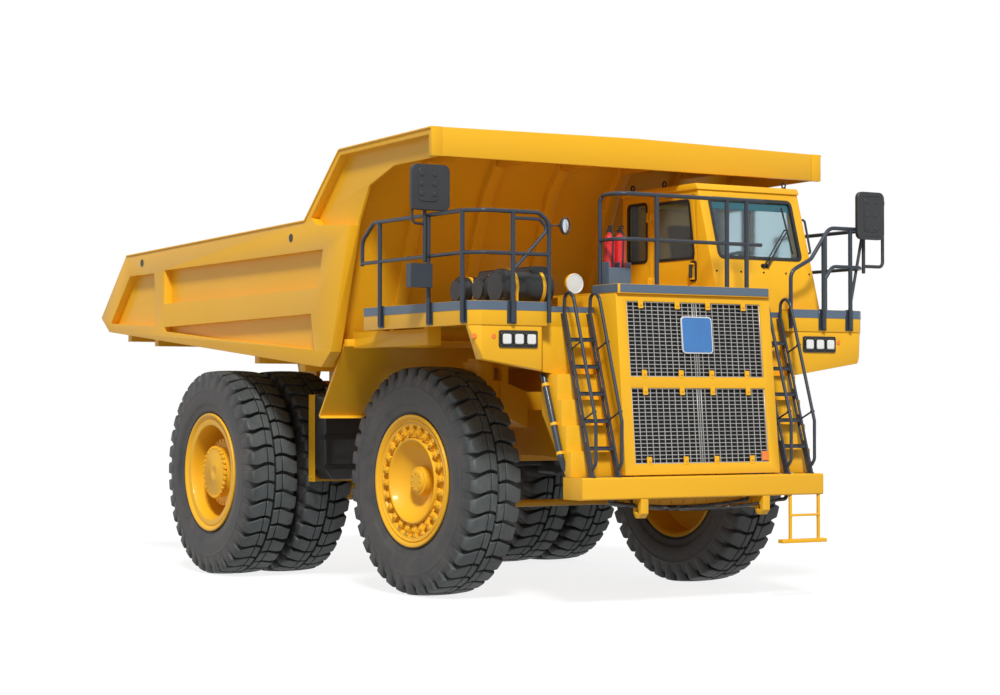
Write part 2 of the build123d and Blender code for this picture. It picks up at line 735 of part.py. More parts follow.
roof_z = cab_top - cab_roof_depth
door_x0 = cab_rear_x + 580
door_x1 = cab_front_x(sill_z) - 265
door_z0 = centre_floor + 50
door_z1 = head_z + 30
door_lean = 85.0
hinge_x = door_x0 - 6
hinge_y = cab_right - 18
side_window = (cab_rear_x + 110, door_x0 - 110)
corner_radius = 55.0
windscreen_inset = 130.0
handle_z = centre_floor + 220
hinge_pin = 8.0
hinge_half = 45.0
door_hinges = (door_z0 + 180, door_z1 - 180)


def door_outline(grow):
    return [
        (door_x0 - grow, door_z0 - grow), (door_x1 + 60 + grow, door_z0 - grow),
        (door_x1 + 60 - door_lean + grow, door_z1 + grow), (door_x0 - grow, door_z1 + grow),
    ]


def door_window(shrink):
    front = door_x1 - 20
    return [
        (door_x0 + 70 + shrink, sill_z + shrink), (front - shrink, sill_z + shrink),
        (front - door_lean - 15 - shrink, head_z - 20 - shrink),
        (door_x0 + 70 + shrink, head_z - 20 - shrink),
    ]


def left_window(shrink):
    front = door_x1
    return [
        (door_x0 + 70 + shrink, sill_z + shrink), (front - shrink, sill_z + shrink),
        (front - 110 - shrink, head_z - shrink), (door_x0 + 70 + shrink, head_z - shrink),
    ]


def windscreen(back, front, shrink):
    """Slab parallel to the cab's sloping front, as large as the windscreen less shrink all round."""
    low, high = sill_z + shrink, head_z - shrink
    right, left = cab_right + windscreen_inset + shrink, cab_left - windscreen_inset - shrink
    slope = slab_xz([
        (cab_front_x(low) - back, low), (cab_front_x(low) - front, low),
        (cab_front_x(high) - front, high), (cab_front_x(high) - back, high),
    ], right, left)
    rounded = [(right, low), (left, low), (left, high), (right, high)]
    return slope & slab_yz(rounded, cab_front_x(high) - 200, cab_front_x(low) + 200, corner_radius + shrink)


def make_cab_shell():
    shell = slab_xz([
        (cab_rear_x, cab_floor), (cab_base_front_x, cab_floor), (cab_front_x(roof_z), roof_z),
        (cab_rear_x, roof_z),
    ], cab_right, cab_left)
    shell -= slab_xz([
        (cab_rear_x + cab_wall, cab_floor + 60), (cab_front_x(cab_floor + 60) - cab_wall, cab_floor + 60),
        (cab_front_x(roof_z) - cab_wall, roof_z + 10), (cab_rear_x + cab_wall, roof_z + 10),
    ], cab_right + cab_wall, cab_left - cab_wall)
    shell -= windscreen(120, -60, 0.0)
    rear_hole = [(cab_right + 200, sill_z), (cab_left - 200, sill_z), (cab_left - 200, head_z),
        (cab_right + 200, head_z)]
    shell -= slab_yz(rear_hole, cab_rear_x - 20, cab_rear_x + 80, corner_radius)
    shell -= slab_xz(door_outline(6.0), cab_right - 10, cab_right + cab_wall + 10)
    x0, x1 = side_window
    hole = [(x0, sill_z), (x1, sill_z), (x1, head_z), (x0, head_z)]
    shell -= slab_xz(hole, cab_right - 10, cab_left + 10, corner_radius)
    shell -= slab_xz(left_window(0), cab_left - cab_wall - 10, cab_left + 10, corner_radius)
    # Door hinges: two brackets with a standing pin each
    for z in door_hinges:
        shell += box(hinge_x - 70, hinge_x + 8, hinge_y - 14, cab_right - running_gap,
            z - hinge_half - 16, z - hinge_half - seat)
        shell += box(hinge_x - 70, hinge_x - 30, hinge_y - 14, cab_right + 1, z - hinge_half - 16,
            z + hinge_half)
        shell += bar((hinge_x, hinge_y, z - hinge_half - 10), (hinge_x, hinge_y, z + hinge_half), hinge_pin)
    return shell


parts["cab_shell"] = make_cab_shell()
parts["cab_roof"] = slab_xz([
    (cab_rear_x - 20, roof_z + seat), (cab_front_x(roof_z) + 25, roof_z + seat),
    (cab_front_x(cab_top) + 10, cab_top),
    (cab_rear_x - 20, cab_top),
], cab_right - 20, cab_left + 20)


def make_cab_glass():
    panes = [windscreen(30, 30 - glass, seat)]
    rear_pane = [
        (cab_right + 200 + seat, sill_z + seat), (cab_left - 200 - seat, sill_z + seat),
        (cab_left - 200 - seat, head_z - seat), (cab_right + 200 + seat, head_z - seat),
    ]
    panes.append(slab_yz(rear_pane, cab_rear_x + 20, cab_rear_x + 20 + glass, corner_radius + 2))
    x0, x1 = side_window
    side_pane = [(x0 + seat, sill_z + seat), (x1 - seat, sill_z + seat), (x1 - seat, head_z - seat),
        (x0 + seat, head_z - seat)]
    for y in (cab_right + 18, cab_left - 18 - glass):
        panes.append(slab_xz(side_pane, y, y + glass, corner_radius + 2))
    panes.append(slab_xz(left_window(seat), cab_left - 18 - glass, cab_left - 18, corner_radius + 2))
    return Compound(children=panes)


parts["cab_glass"] = make_cab_glass()


def make_door():
    y0, y1 = cab_right, cab_right + cab_wall
    leaf = slab_xz(door_outline(0.0), y0, y1)
    leaf -= slab_xz(door_window(0), y0 - 5, y1 + 5, corner_radius)
    # Bow handle
    grip_x = door_x1 - 45
    for z in (handle_z, handle_z + 160):
        leaf += box(grip_x, grip_x + 25, y0 - 50, y0 + 1, z, z + 20)
    leaf += box(grip_x, grip_x + 25, y0 - 50, y0 - 35, handle_z, handle_z + 180)
    for z in door_hinges:
        low, high = z - hinge_half, z + hinge_half
        barrel = bar((hinge_x, hinge_y, low), (hinge_x, hinge_y, high), 16)
        barrel += box(hinge_x + 4, door_x0 + 60, hinge_y - 6, y0 + 1, low, high)
        leaf += barrel - socket((hinge_x, hinge_y, low - 1), (hinge_x, hinge_y, high + 1), hinge_pin, 12)
    return leaf



parts["cab_door"] = make_door()
pane_y = cab_right + cab_wall / 2
parts["door_glass"] = slab_xz(door_window(seat), pane_y - glass / 2, pane_y + glass / 2, corner_radius + 2)

# Driver's seat, and the steering column with its wheel
seat_x, seat_y = cab_rear_x + 380, (cab_left + cab_right) / 2
seat_half = 240.0
chair = box(seat_x, seat_x + 480, seat_y - seat_half, seat_y + seat_half, cab_floor + 60 + seat,
    cab_floor + 360)
chair += box(seat_x, seat_x + 500, seat_y - seat_half - 10, seat_y + seat_half + 10, cab_floor + 350,
    cab_floor + 480)
chair += slab_xz([
    (seat_x - 150, cab_floor + 1080), (seat_x - 40, cab_floor + 1100), (seat_x + 130, cab_floor + 470),
    (seat_x, cab_floor + 450),
], seat_y - seat_half, seat_y + seat_half)
wheel_x, wheel_z = seat_x + 795, cab_floor + 650
column = bar((wheel_x + 255, seat_y, cab_floor + 79), (wheel_x, seat_y, wheel_z + 5), 45)
wheel_plane = Plane((wheel_x, seat_y, wheel_z), z_dir=(-0.4, 0, 0.92))
rim_ring = extrude(wheel_plane * (RegularPolygon(205, 16) - RegularPolygon(170, 16)), 30)
spoke = wheel_plane * Pos(0, 0, 12) * Box(360, 50, 20)
parts["driver_seat"] = Compound(children=[chair, column + rim_ring + spoke])

# Three air cleaners with their duct on the right deck
cleaners = None
for x, radius, y0, y1 in (
    (3420, 150, -2000, -1500), (3860, 150, -2000, -1500), (4290, 190, -2050, -1450),
):
    can = bar((x, y0, deck_floor + 250), (x, y1, deck_floor + 250), radius)
    can += bar((x, y0 - 25, deck_floor + 250), (x, y0 + 5, deck_floor + 250), radius - 40)
    can += box(x - 90, x + 90, -1900, -1600, deck_floor + seat, deck_floor + 150)
    cleaners = can if cleaners is None else cleaners + can
cleaners += box(3350, 4400, -1700, -1500, deck_floor + 395, deck_floor + 470)
parts["air_cleaners"] = cleaners

# Two fire extinguishers in their holder
holder_x, holder_y = (centre_front_x - 480, centre_front_x - 280), (-900, -620)
bottle_x = sum(holder_x) / 2
floor_z = centre_floor + 10 + seat
holder = box(*holder_x, *holder_y, floor_z, floor_z + 320)
holder -= box(holder_x[0] + 10, holder_x[1] - 10, holder_y[0] + 10, holder_y[1] - 10, floor_z + 50,
    floor_z + 330)
bottles = []
for y in (holder_y[0] + 75, holder_y[1] - 75):
    bottle = bar((bottle_x, y, floor_z + 50 + seat), (bottle_x, y, floor_z + 610), 60)
    bottle += bar((bottle_x, y, floor_z + 600), (bottle_x, y, floor_z + 690), 22)
    bottle += box(bottle_x - 15, bottle_x + 70, y - 12, y + 12, floor_z + 670, floor_z + 700)
    bottles.append(bottle)
parts["extinguishers"] = Compound(children=[holder] + bottles)


# Mirrors, each on a stem that is clamped beside the guard rail
stem_radius = 20.0
stem_x, stem_y = right_posts[1], -side_rail_y - tube - 2 - stem_radius - seat
mirror = bar((stem_x, stem_y, mid_z - 60), (stem_x, stem_y, rail_z + 480), stem_radius)
mirror += box(stem_x + 17, stem_x + 70, stem_y - 190, stem_y + 265, rail_z + 40, rail_z + 518)
mirror += pipe([
    (stem_x + 8, stem_y, rail_z - 90), (stem_x + 8, stem_y - 150, rail_z - 90),
    (stem_x + 8, stem_y - 150, rail_z + 300),
], 15)
parts["mirror_right"] = mirror
reach = (tube + stem_radius + seat) / math.sqrt(2)
stem_x, stem_y = front_rail_x - corner / 2 + reach, side_rail_y - corner / 2 + reach
mirror = bar((stem_x, stem_y, mid_z - 60), (stem_x, stem_y, rail_z + 380), stem_radius)
for z in (rail_z + 60, rail_z + 330):
    mirror += bar((stem_x, stem_y, z), (stem_x + 100, stem_y, z), 14)
mirror += box(stem_x + 85, stem_x + 140, stem_y - 90, stem_y + 300, rail_z - 115, rail_z + 415)
parts["mirror_left"] = mirror


# Tanks between the front and rear wheels: fuel on the right and hydraulic oil on the left
tank_x = (-150.0, 240.0)
tank_z = (1180.0, 2180.0)
tank_y = (1290.0, 1900.0)
tank_radius = 55.0


def make_tank(side):
    y0, y1 = tank_y
    z0, z1 = tank_z
    tank = slab_yz([
        (side * y0, z0), (side * (y1 - 100), z0), (side * y1, z0 + 120), (side * y1, z1), (side * y0, z1),
    ], *tank_x, tank_radius)
    rail_face = side * (rail_out + seat)
    tank += box(tank_x[0] + 50, tank_x[1] - 140, rail_face, side * (y0 + 10), z0 + 120, z0 + 260)
    tank += box(tank_x[0] + 50, tank_x[1] - 140, rail_face, side * (rail_out + 50), z0 + 120, z0 + 620)
    # Filler neck with its cap, and a tie plate across the outer face
    tank += bar((sum(tank_x) / 2, side * (y1 - 160), z1 - 10),
        (sum(tank_x) / 2, side * (y1 - 160), z1 + 90), 55)
    return tank


parts["fuel_tank"] = make_tank(-1)
parts["hydraulic_tank"] = make_tank(1)


# Mudguards behind the front wheels, with the beams that carry the decks
guard_half = 2400.0
beam_band = (2150.0, 2310.0)


def make_mudguard(side):
    inner, outer = side * (rail_out + seat), side * guard_half
    guard = slab_xz([
        (1680, 2740), (1642, 2740), (1035, 1935), (1070, 1905), (1110, 1905), (1072, 1935),
    ], inner, outer)
    guard += box(1650, 1720, inner, outer, 2700, 2780)
    y0, y1 = (side * y for y in beam_band)
    guard += box(1680, deck_beams[1] + 40, y0, y1, 2680, fascia_bottom - seat)
    for x in deck_beams[:2]:
        guard += box(x - 40, x + 40, y0, y1, fascia_bottom - 20, fascia_bottom + 47 - seat)
    return guard


parts["mudguards"] = Compound(children=[make_mudguard(side) for side in (1, -1)])

# Front struts: each tube holds the rod of a knuckle and is clamped to the yoke
knuckle_rod = 110.0
struts = []
for side in (1, -1):
    y = side * kingpin_y
    strut = bar((front_axle_x, y, 1560), (front_axle_x, y, 2520), 170)
    strut += box(front_axle_x - 150, front_axle_x + 150, side * (yoke_half + seat),
        side * (yoke_half + 90), 1970, 2320)
    strut += bar((front_axle_x, y, 2510), (front_axle_x, y, 2560), 120)
    struts.append(strut - socket((front_axle_x, y, 1540), (front_axle_x, y, 2300), knuckle_rod))
parts["front_struts"] = Compound(children=struts)

# Rear axle: tube, round final drive, pinion nose and a wishbone that ends in the frame's hanger
axle_nose = (530.0, 670.0)
axle = bar((rear_axle_x, -2050, axle_z), (rear_axle_x, 2050, axle_z), axle_tube)
axle += Pos(rear_axle_x, 0, axle_z) * drum([(-280, 240), (-150, 400), (150, 400), (280, 240)])
pinion_at = Vector(*drive_end) - drive_way * seat
axle += bar(tuple(pinion_at), tuple(pinion_at - drive_way * 180), 110)
for side in (1, -1):
    axle += bar((rear_axle_x + 50, side * 420, hanger_z + 10),
        (axle_nose[1] - 80, side * 50, hanger_z + 80), 60)
axle += box(*axle_nose, -110, 110, hanger_z + 10 + seat, hanger_z + 140)
parts["rear_axle"] = axle

strut_y = 860.0
struts = []
for side in (1, -1):
    y = side * strut_y
    strut = bar((rear_axle_x - 330, y, axle_z + 120), (rear_axle_x - 420, y, 2050), 95)
    strut += bar((rear_axle_x - 400, y, 1900), (rear_axle_x - 440, y, 2350), 125)
    strut += box(rear_axle_x - 420, rear_axle_x - axle_tube - seat, y - 70, y + 70, axle_z - 60,
        axle_z + 130)
    strut += box(rear_axle_x - 540, rear_axle_x - 320, side * (rail_out + seat), y, 1900, 1990)
    struts.append(strut)
parts["rear_struts"] = Compound(children=struts)


# Dump body: floor, two ribbed sides, front wall and canopy
def keel_z(x):
    """Height of the floor's underside."""
    slope = (tail_low[1] - keel_front[1]) / (tail_low[0] - keel_front[0])
    return keel_front[1] + (x - keel_front[0]) * slope


side_profile = [
    tail_tip, tail_low, keel_front, toe_front, wall_knee, wall_turn, canopy_knee,
    (canopy_x, canopy_bottom), (canopy_x, canopy_top), (canopy_rear_x, canopy_rear_z), rail_front, tail_top,
]
top_z = canopy_top
side_pockets = (
    [(-2957, top_z - 1132), (1445, top_z - 1118), (1319, top_z - 1543), (-2955, top_z - 1560)],
    [(-2954, 3044), (1151, 3076), (1237, 2669), (-1330, 2850), (-2954, 2990)],
    [(-4093, top_z - 1153), (-3289, top_z - 1153), (-3179, 3061), (-4747, 3145)],
)
canopy_pocket = [
    (2250, top_z - 901), (2480, top_z - 501), (2920, top_z - 401), (canopy_x - 56, top_z - 381),
    (canopy_x - 56, top_z - 81), (1860, top_z - 111), (1150, top_z - 751), (1300, top_z - 841),
]


def make_body_side(side):
    skin = side * (body_half - rib_depth)
    panel = slab_xz(side_profile, skin, side * (body_half - rib_depth - side_skin))
    ribs = slab_xz(side_profile, side * body_half, skin)
    for pocket in side_pockets:
        ribs -= slab_xz(pocket, side * (body_half + 1), side * (body_half - rib_depth - 1))
    ribs -= slab_xz(canopy_pocket, side * (body_half + 1), side * (body_half - rib_depth - 1))
    return panel + ribs


parts["body_side_right"] = make_body_side(-1)
parts["body_side_left"] = make_body_side(1)
inner_half = body_half - rib_depth - side_skin - seat
floor_front_x, floor_rear_x = keel_front[0] - 104, tail_low[0] - 200
tray = slab_xz([
    (floor_rear_x, keel_z(floor_rear_x)), (floor_front_x, keel_z(floor_front_x) + 5),
    (floor_front_x, keel_z(floor_front_x) + 5 + floor_plate),
    (floor_rear_x, keel_z(floor_rear_x) + floor_plate),
], -inner_half, inner_half)
ear_y = (rail_out + 65, rail_out + 125)
hoist_ears = (hoist_y - 100, hoist_y + 100)
for side in (1, -1):
    tray += slab_xz([
        (1250, beam_bottom), (1250, keel_z(1250) + 10), (-2100, keel_z(-2100) + 5), (-2100, beam_bottom),
    ], side * beam_y[0], side * beam_y[1])
    px, pz = pivot
    ear = slab_xz([
        (px - 400, keel_z(px - 400) + 8), (px + 400, keel_z(px + 400) + 8), (px + 120, pz),
        (px + 50, pz - 110),
        (px - 50, pz - 110), (px - 120, pz),
    ], side * ear_y[0], side * ear_y[1])
    tray += ear - socket((px, side * (ear_y[0] - 5), pz), (px, side * (ear_y[1] + 5), pz), pivot_pin)
    ex, ez = hoist_eye
    for y in hoist_ears:
        tray += slab_xz([
            (ex - 200, keel_z(ex - 200) + 8), (ex + 200, keel_z(ex + 200) + 8), (ex + 100, ez - 50),
            (ex, ez - 120),
            (ex - 100, ez - 50),
        ], side * y - 15, side * y + 15)
for x in (-4400, -3500, -500, 700):
    z = keel_z(x)
    for side in (1, -1):
        tray += box(x - 60, x + 60, side * 1100, side * inner_half, z - 100, z + 8)
parts["body_floor"] = tray

rib_rows = (-1700, -850, 0, 850, 1700)
front_wall = slab_xz([
    (floor_front_x + seat, keel_z(floor_front_x) + 5), (1400, keel_z(1400) + 5), (1945, top_z - 838),
    (2130, top_z - 431), (2420, canopy_rear_z - 30), (2380, canopy_rear_z - 30), (2095, top_z - 411),
    (1905, top_z - 826), (1370, 2540), (floor_front_x + seat, 2540),
], -inner_half, inner_half)
for y in rib_rows:
    front_wall += slab_xz([
        (1435, 2600), (1500, 2640), (2020, top_z - 841), (2200, top_z - 461), (2420, top_z - 201),
        (2420, canopy_rear_z - 30), (2130, top_z - 421), (1940, top_z - 838),
    ], y - 70, y + 70)
parts["body_front_wall"] = front_wall

canopy_z = canopy_top - 60
canopy = slab_xz([
    (canopy_rear_x, canopy_rear_z - 30 + seat), (canopy_x - 10, canopy_z), (canopy_x - 10, canopy_z + 30),
    (canopy_rear_x, canopy_rear_z),
], -inner_half, inner_half)
canopy += slab_yz([
    (-inner_half, canopy_bottom), (inner_half, canopy_bottom), (inner_half, canopy_top),
    (0, canopy_top + 30),
    (-inner_half, canopy_top),
], canopy_x - 40, canopy_x)
for y in rib_rows:
    canopy += slab_xz([
        (2430, canopy_rear_z - 25), (2430, top_z - 201), (canopy_x - 35, canopy_bottom + 110),
        (canopy_x - 35, canopy_z + 5),
    ], y - 50, y + 50)
parts["body_canopy"] = canopy

# Hoists, between their feet on the frame and the ears of the dump body
hoist_start = Vector(hoist_foot[0], 0, hoist_foot[1])
hoist_span = Vector(hoist_eye[0], 0, hoist_eye[1]) - hoist_start
hoist_length = hoist_span.length
barrel_end = hoist_length - 260


def along(distance, y):
    point = hoist_start + hoist_span * (distance / hoist_length)
    return (point.X, y, point.Z)


for name, side in sides_of_truck:
    y = side * hoist_y
    foot_a, foot_b = along(0, y - eye_width), along(0, y + eye_width)
    barrel = bar(along(90, y), along(barrel_end, y), barrel_radius)
    barrel += bar(along(barrel_end - 60, y), along(barrel_end - 1, y), barrel_radius + 15)
    barrel += bar(foot_a, foot_b, eye_radius + 25)
    barrel -= socket(along(0, y - eye_width - 5), along(0, y + eye_width + 5), foot_pin)
    barrel -= socket(along(250, y), along(hoist_length, y), rod_radius)
    parts[f"hoist_barrel_{name}"] = barrel
    rod = bar(along(270, y), along(hoist_length - 40, y), rod_radius)
    rod += bar(along(hoist_length, y - 50), along(hoist_length, y + 50), eye_radius)
    parts[f"hoist_rod_{name}"] = rod

# Knuckles: strut rod, block, spindle and steering arm, with the tie rod between the arms
arm_x, arm_z, arm_half = -520.0, 1020.0, 30.0
link_pin = 22.0
link_tube = 40.0
link_z = arm_z - arm_half - 55
for name, side in sides_of_truck:
    knuckle = bar((0, 0, 900), (0, 0, 2200), knuckle_rod)
    knuckle += box(-150, 150, -150, 150, 1000, 1480)
    knuckle += bar((0, 0, axle_z), (0, side * (spindle_reach - 10), axle_z), spindle_radius)
    arm = slab_xy([(-100, -90), (arm_x, -60), (arm_x - 60, 0), (arm_x, 60), (-100, 90)],
        arm_z - arm_half, arm_z + arm_half)
    knuckle += arm - socket((arm_x, 0, arm_z - 40), (arm_x, 0, arm_z + 40), link_pin)
    parts[f"knuckle_{name}"] = front_corner(knuckle, side)
steer = math.radians(rest_steer)
link_x = front_axle_x + arm_x * math.cos(steer)
link_shift = arm_x * math.sin(steer)
tie_rod = bar((link_x, link_shift - kingpin_y, link_z), (link_x, link_shift + kingpin_y, link_z), link_tube)
for side in (1, -1):
    y = side * kingpin_y + link_shift
    tie_rod += bar((link_x, y, link_z), (link_x, y, arm_z + arm_half + 20), link_pin)
    tie_rod += bar((link_x, y, link_z - 45), (link_x, y, arm_z - arm_half - seat), 58)
parts["tie_rod"] = tie_rod

os.makedirs("parts", exist_ok=True)
for name, solid in parts.items():
    solid.label = name
    export_step(solid, f"parts/{name}.step")
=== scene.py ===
# %% [markdown]
# The object is a rigid mining dump truck, as a photograph shows it from its front right corner.
# CAD has already fixed every real size, so this script never changes one. It loads the CAD bodies
# as a frame, gives them paint, rubber and glass, and adds the fine pieces that a CAD model of this
# size leaves out: road tread, bolts, wire mesh, clamps, lamps and wiping blades.

# %% Load the frame
import json
import math
import bmesh
import bpy
from mathutils import Matrix, Vector

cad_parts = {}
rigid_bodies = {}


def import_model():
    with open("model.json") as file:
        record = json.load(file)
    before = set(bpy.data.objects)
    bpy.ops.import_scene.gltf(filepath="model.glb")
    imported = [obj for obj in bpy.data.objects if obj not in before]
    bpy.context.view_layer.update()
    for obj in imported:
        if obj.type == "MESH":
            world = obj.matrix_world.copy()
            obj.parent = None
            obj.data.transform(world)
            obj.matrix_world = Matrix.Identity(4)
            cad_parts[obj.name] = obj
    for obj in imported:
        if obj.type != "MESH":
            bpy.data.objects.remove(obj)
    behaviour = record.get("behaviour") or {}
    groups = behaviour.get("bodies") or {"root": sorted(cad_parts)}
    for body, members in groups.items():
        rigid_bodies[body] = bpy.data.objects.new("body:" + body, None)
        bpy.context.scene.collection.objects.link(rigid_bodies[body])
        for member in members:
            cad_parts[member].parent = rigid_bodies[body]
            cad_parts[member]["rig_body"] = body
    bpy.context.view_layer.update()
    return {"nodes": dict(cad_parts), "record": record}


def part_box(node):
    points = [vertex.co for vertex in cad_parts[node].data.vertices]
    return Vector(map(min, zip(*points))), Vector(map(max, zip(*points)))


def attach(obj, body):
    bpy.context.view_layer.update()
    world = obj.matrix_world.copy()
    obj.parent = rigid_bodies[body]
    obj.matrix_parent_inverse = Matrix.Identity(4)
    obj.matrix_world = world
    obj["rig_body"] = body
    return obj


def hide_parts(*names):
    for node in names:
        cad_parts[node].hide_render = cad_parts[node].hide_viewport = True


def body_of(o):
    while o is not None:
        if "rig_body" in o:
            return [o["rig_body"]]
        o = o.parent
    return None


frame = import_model()
nodes = frame["nodes"]

# %% [markdown]
# Paint, rubber and glass are worked out by shader nodes, because a picture would not fit the sides
# that the photograph hides. Writing shader sums as Python sums keeps them readable, so this small
# class wraps a socket and turns +, - and * into Math nodes.


# %% A socket that can be added and multiplied
class Value:
    def __init__(self, finish, socket):
        self.finish = finish
        self.socket = socket

    def _join(self, other, operation, swap=False):
        pair = (other, self) if swap else (self, other)
        return self.finish.node("ShaderNodeMath", {"operation": operation}, {0: pair[0], 1: pair[1]})

    def __add__(self, other):
        return self._join(other, "ADD")

    def __radd__(self, other):
        return self._join(other, "ADD", True)

    def __sub__(self, other):
        return self._join(other, "SUBTRACT")

    def __rsub__(self, other):
        return self._join(other, "SUBTRACT", True)

    def __mul__(self, other):
        return self._join(other, "MULTIPLY")

    def __rmul__(self, other):
        return self._join(other, "MULTIPLY", True)

    def clamp(self, low=0.0, high=1.0):
        return self.finish.node("ShaderNodeClamp", {}, {"Value": self, "Min": low, "Max": high})

    def above(self, edge, soft):
        """0 below an edge and 1 above it, with a soft step."""
        return self.finish.node("ShaderNodeMapRange", {"interpolation_type": "SMOOTHSTEP"}, {
            "Value": self, "From Min": edge - soft, "From Max": edge + soft})


# %% [markdown]
# In Blender a material is a tree of nodes that ends in one shader. The class below makes such a tree,
# adds nodes to it with one call each, and feeds their values to the shader's sockets. Every pattern
# reads the Object coordinates, which stay fixed to a piece when it moves.


# %% A material with its nodes
class Finish:
    """A material with its node tree, its shader and the place of each point on the piece."""

    def __init__(self, name, colour, roughness=0.5, metallic=0.0, coat=0.0, coat_roughness=0.1):
        self.material = bpy.data.materials.new(name)
        self.material.use_nodes = True
        self.tree = self.material.node_tree
        self.shader = self.tree.nodes["Principled BSDF"]
        self.shader.inputs["Base Color"].default_value = (*colour, 1.0)
        self.shader.inputs["Roughness"].default_value = roughness
        self.shader.inputs["Metallic"].default_value = metallic
        self.shader.inputs["Coat Weight"].default_value = coat
        self.shader.inputs["Coat Roughness"].default_value = coat_roughness
        self.material.diffuse_color = (*colour, 1.0)
        place = self.tree.nodes.new("ShaderNodeTexCoord")
        self.place = Value(self, place.outputs["Object"])
        self.colour = colour

    def node(self, kind, settings, values, output=0):
        """Any node: its settings first, then the values or links of its sockets."""
        made = self.tree.nodes.new(kind)
        for key, setting in settings.items():
            setattr(made, key, setting)
        for key, value in values.items():
            socket = made.inputs[key]
            if isinstance(value, Value):
                self.tree.links.new(value.socket, socket)
            else:
                socket.default_value = value
        return Value(self, made.outputs[output])

    def feed(self, name, value):
        self.tree.links.new(value.socket, self.shader.inputs[name])

    def noise(self, scale, detail=3.0, roughness=0.5):
        """A cloudy value between 0 and 1, whose scale is counted in metres to the power of -1."""
        return self.node("ShaderNodeTexNoise", {}, {
            "Vector": self.place, "Scale": scale, "Detail": detail, "Roughness": roughness})

    def height(self):
        """Height above the ground in metres."""
        return self.node("ShaderNodeSeparateXYZ", {}, {0: self.place}, "Z")

    def mix(self, factor, first, second):
        """Blend of two colours, each a plain colour or a Value."""
        made = self.tree.nodes.new("ShaderNodeMix")
        made.data_type = "RGBA"
        for socket, value in zip((made.inputs[0], made.inputs[6], made.inputs[7]), (factor, first, second)):
            if isinstance(value, Value):
                self.tree.links.new(value.socket, socket)
            elif isinstance(value, tuple):
                socket.default_value = (*value, 1.0)
            else:
                socket.default_value = value
        return Value(self, made.outputs[2])

    def bump(self, height, strength, distance):
        values = {"Height": height, "Strength": strength, "Distance": distance}
        self.feed("Normal", self.node("ShaderNodeBump", {}, values))


# %% [markdown]
# The truck is painted a warm yellow over most of its plates and slate grey on rails, steps and toe
# boards. New paint is smooth and slightly glossy, so a coat layer carries the sheen. The paint is
# never one flat colour: dust dulls it in soft clouds, and towards the ground the mix leans further to
# each paint's dust colour, so the yellow and the red grow darker towards the bottom.


# %% Paints
def paint(name, colour, roughness, coat, dust_colour, dust_share):
    finish = Finish(name, colour, roughness, 0.0, coat, 0.12)
    cloud = finish.noise(0.9, 5.0, 0.6)
    speck = finish.noise(14.0, 4.0, 0.6)
    # Share that grows towards the ground and pushes the mix to the dust colour: darker towards the bottom on
    # the yellow and the red, paler on the slate and dark paints.
    low = 1.0 - (finish.height() * 0.22).clamp()
    dust_and_ground_tint = ((cloud * 0.9 + speck * 0.35 - 0.42 + low * 0.5).clamp() * dust_share).clamp()
    finish.feed("Base Color", finish.mix(dust_and_ground_tint, colour, dust_colour))
    finish.feed("Roughness", dust_and_ground_tint * 0.4 + roughness)
    finish.shader.inputs["Specular IOR Level"].default_value = 0.3
    finish.bump(finish.noise(60.0, 2.0), 0.04, 0.002)
    return finish


rail_paint = paint("slate_rail", (0.020, 0.030, 0.046), 0.38, 0.25, (0.07, 0.068, 0.065), 0.3)
yellow = paint("yellow_paint", (0.86, 0.445, 0.010), 0.42, 0.12, (0.68, 0.34, 0.028), 0.35)
slate = paint("slate_paint", (0.085, 0.135, 0.20), 0.4, 0.2, (0.16, 0.16, 0.15), 0.5)
dark = paint("dark_steel", (0.012, 0.014, 0.017), 0.38, 0.2, (0.05, 0.045, 0.04), 0.5)
red = paint("red_paint", (0.62, 0.018, 0.022), 0.3, 0.5, (0.5, 0.05, 0.04), 0.2)
print("paints:", [made.material.name for made in (rail_paint, yellow, slate, dark, red)])

# %% [markdown]
# Rubber is matt. Brown grime clouds the sidewall, and the faces of the lugs, which wear on rock, are
# paler than the grooves between them. The shader tells them apart by their distance from the axle.

# %% Rubber
FRONT_AXLE_X, REAR_AXLE_X, AXLE_Z = 2.5, -1.45, 1.23676
TREAD_FROM, WORN_FROM = 1.150, 1.222
rubber = Finish("tyre_rubber", (0.045, 0.052, 0.050), 0.62)
across, height = (rubber.node("ShaderNodeSeparateXYZ", {}, {0: rubber.place}, axis) for axis in ("X", "Z"))
across = across - (across.above(0.5, 0.01) * (FRONT_AXLE_X - REAR_AXLE_X) + REAR_AXLE_X)
height = height - AXLE_Z
radius = rubber.node("ShaderNodeMath", {"operation": "SQRT"}, {0: across * across + height * height})
tread = radius.above(TREAD_FROM, 0.02)
worn_top = radius.above(WORN_FROM, 0.014)
grime = (rubber.noise(2.4, 6.0, 0.7) * 2.2 - 0.75).clamp()
wall = rubber.mix(grime, (0.020, 0.021, 0.024), (0.090, 0.080, 0.072))
patches = (rubber.noise(5.0, 6.0, 0.7) * 2.0 - 0.6).clamp()
face_colour = rubber.mix(patches, (0.040, 0.050, 0.053), (0.095, 0.104, 0.100))
block_colour = rubber.mix(worn_top, (0.030, 0.032, 0.032), face_colour)
rubber.feed("Base Color", rubber.mix(tread, wall, block_colour))
rubber.feed("Roughness", grime * 0.2 + 0.52)
rubber.bump(rubber.noise(80.0, 3.0), 0.15, 0.002)
print("rubber nodes:", len(rubber.tree.nodes))

# %% [markdown]
# Glass lets light through and has a faint blue-green tint. It, the wire, the polished hoist rods and
# the moulded shells share one recipe: clouds shift the colour and the gloss a little, and a fine
# relief breaks the highlight.


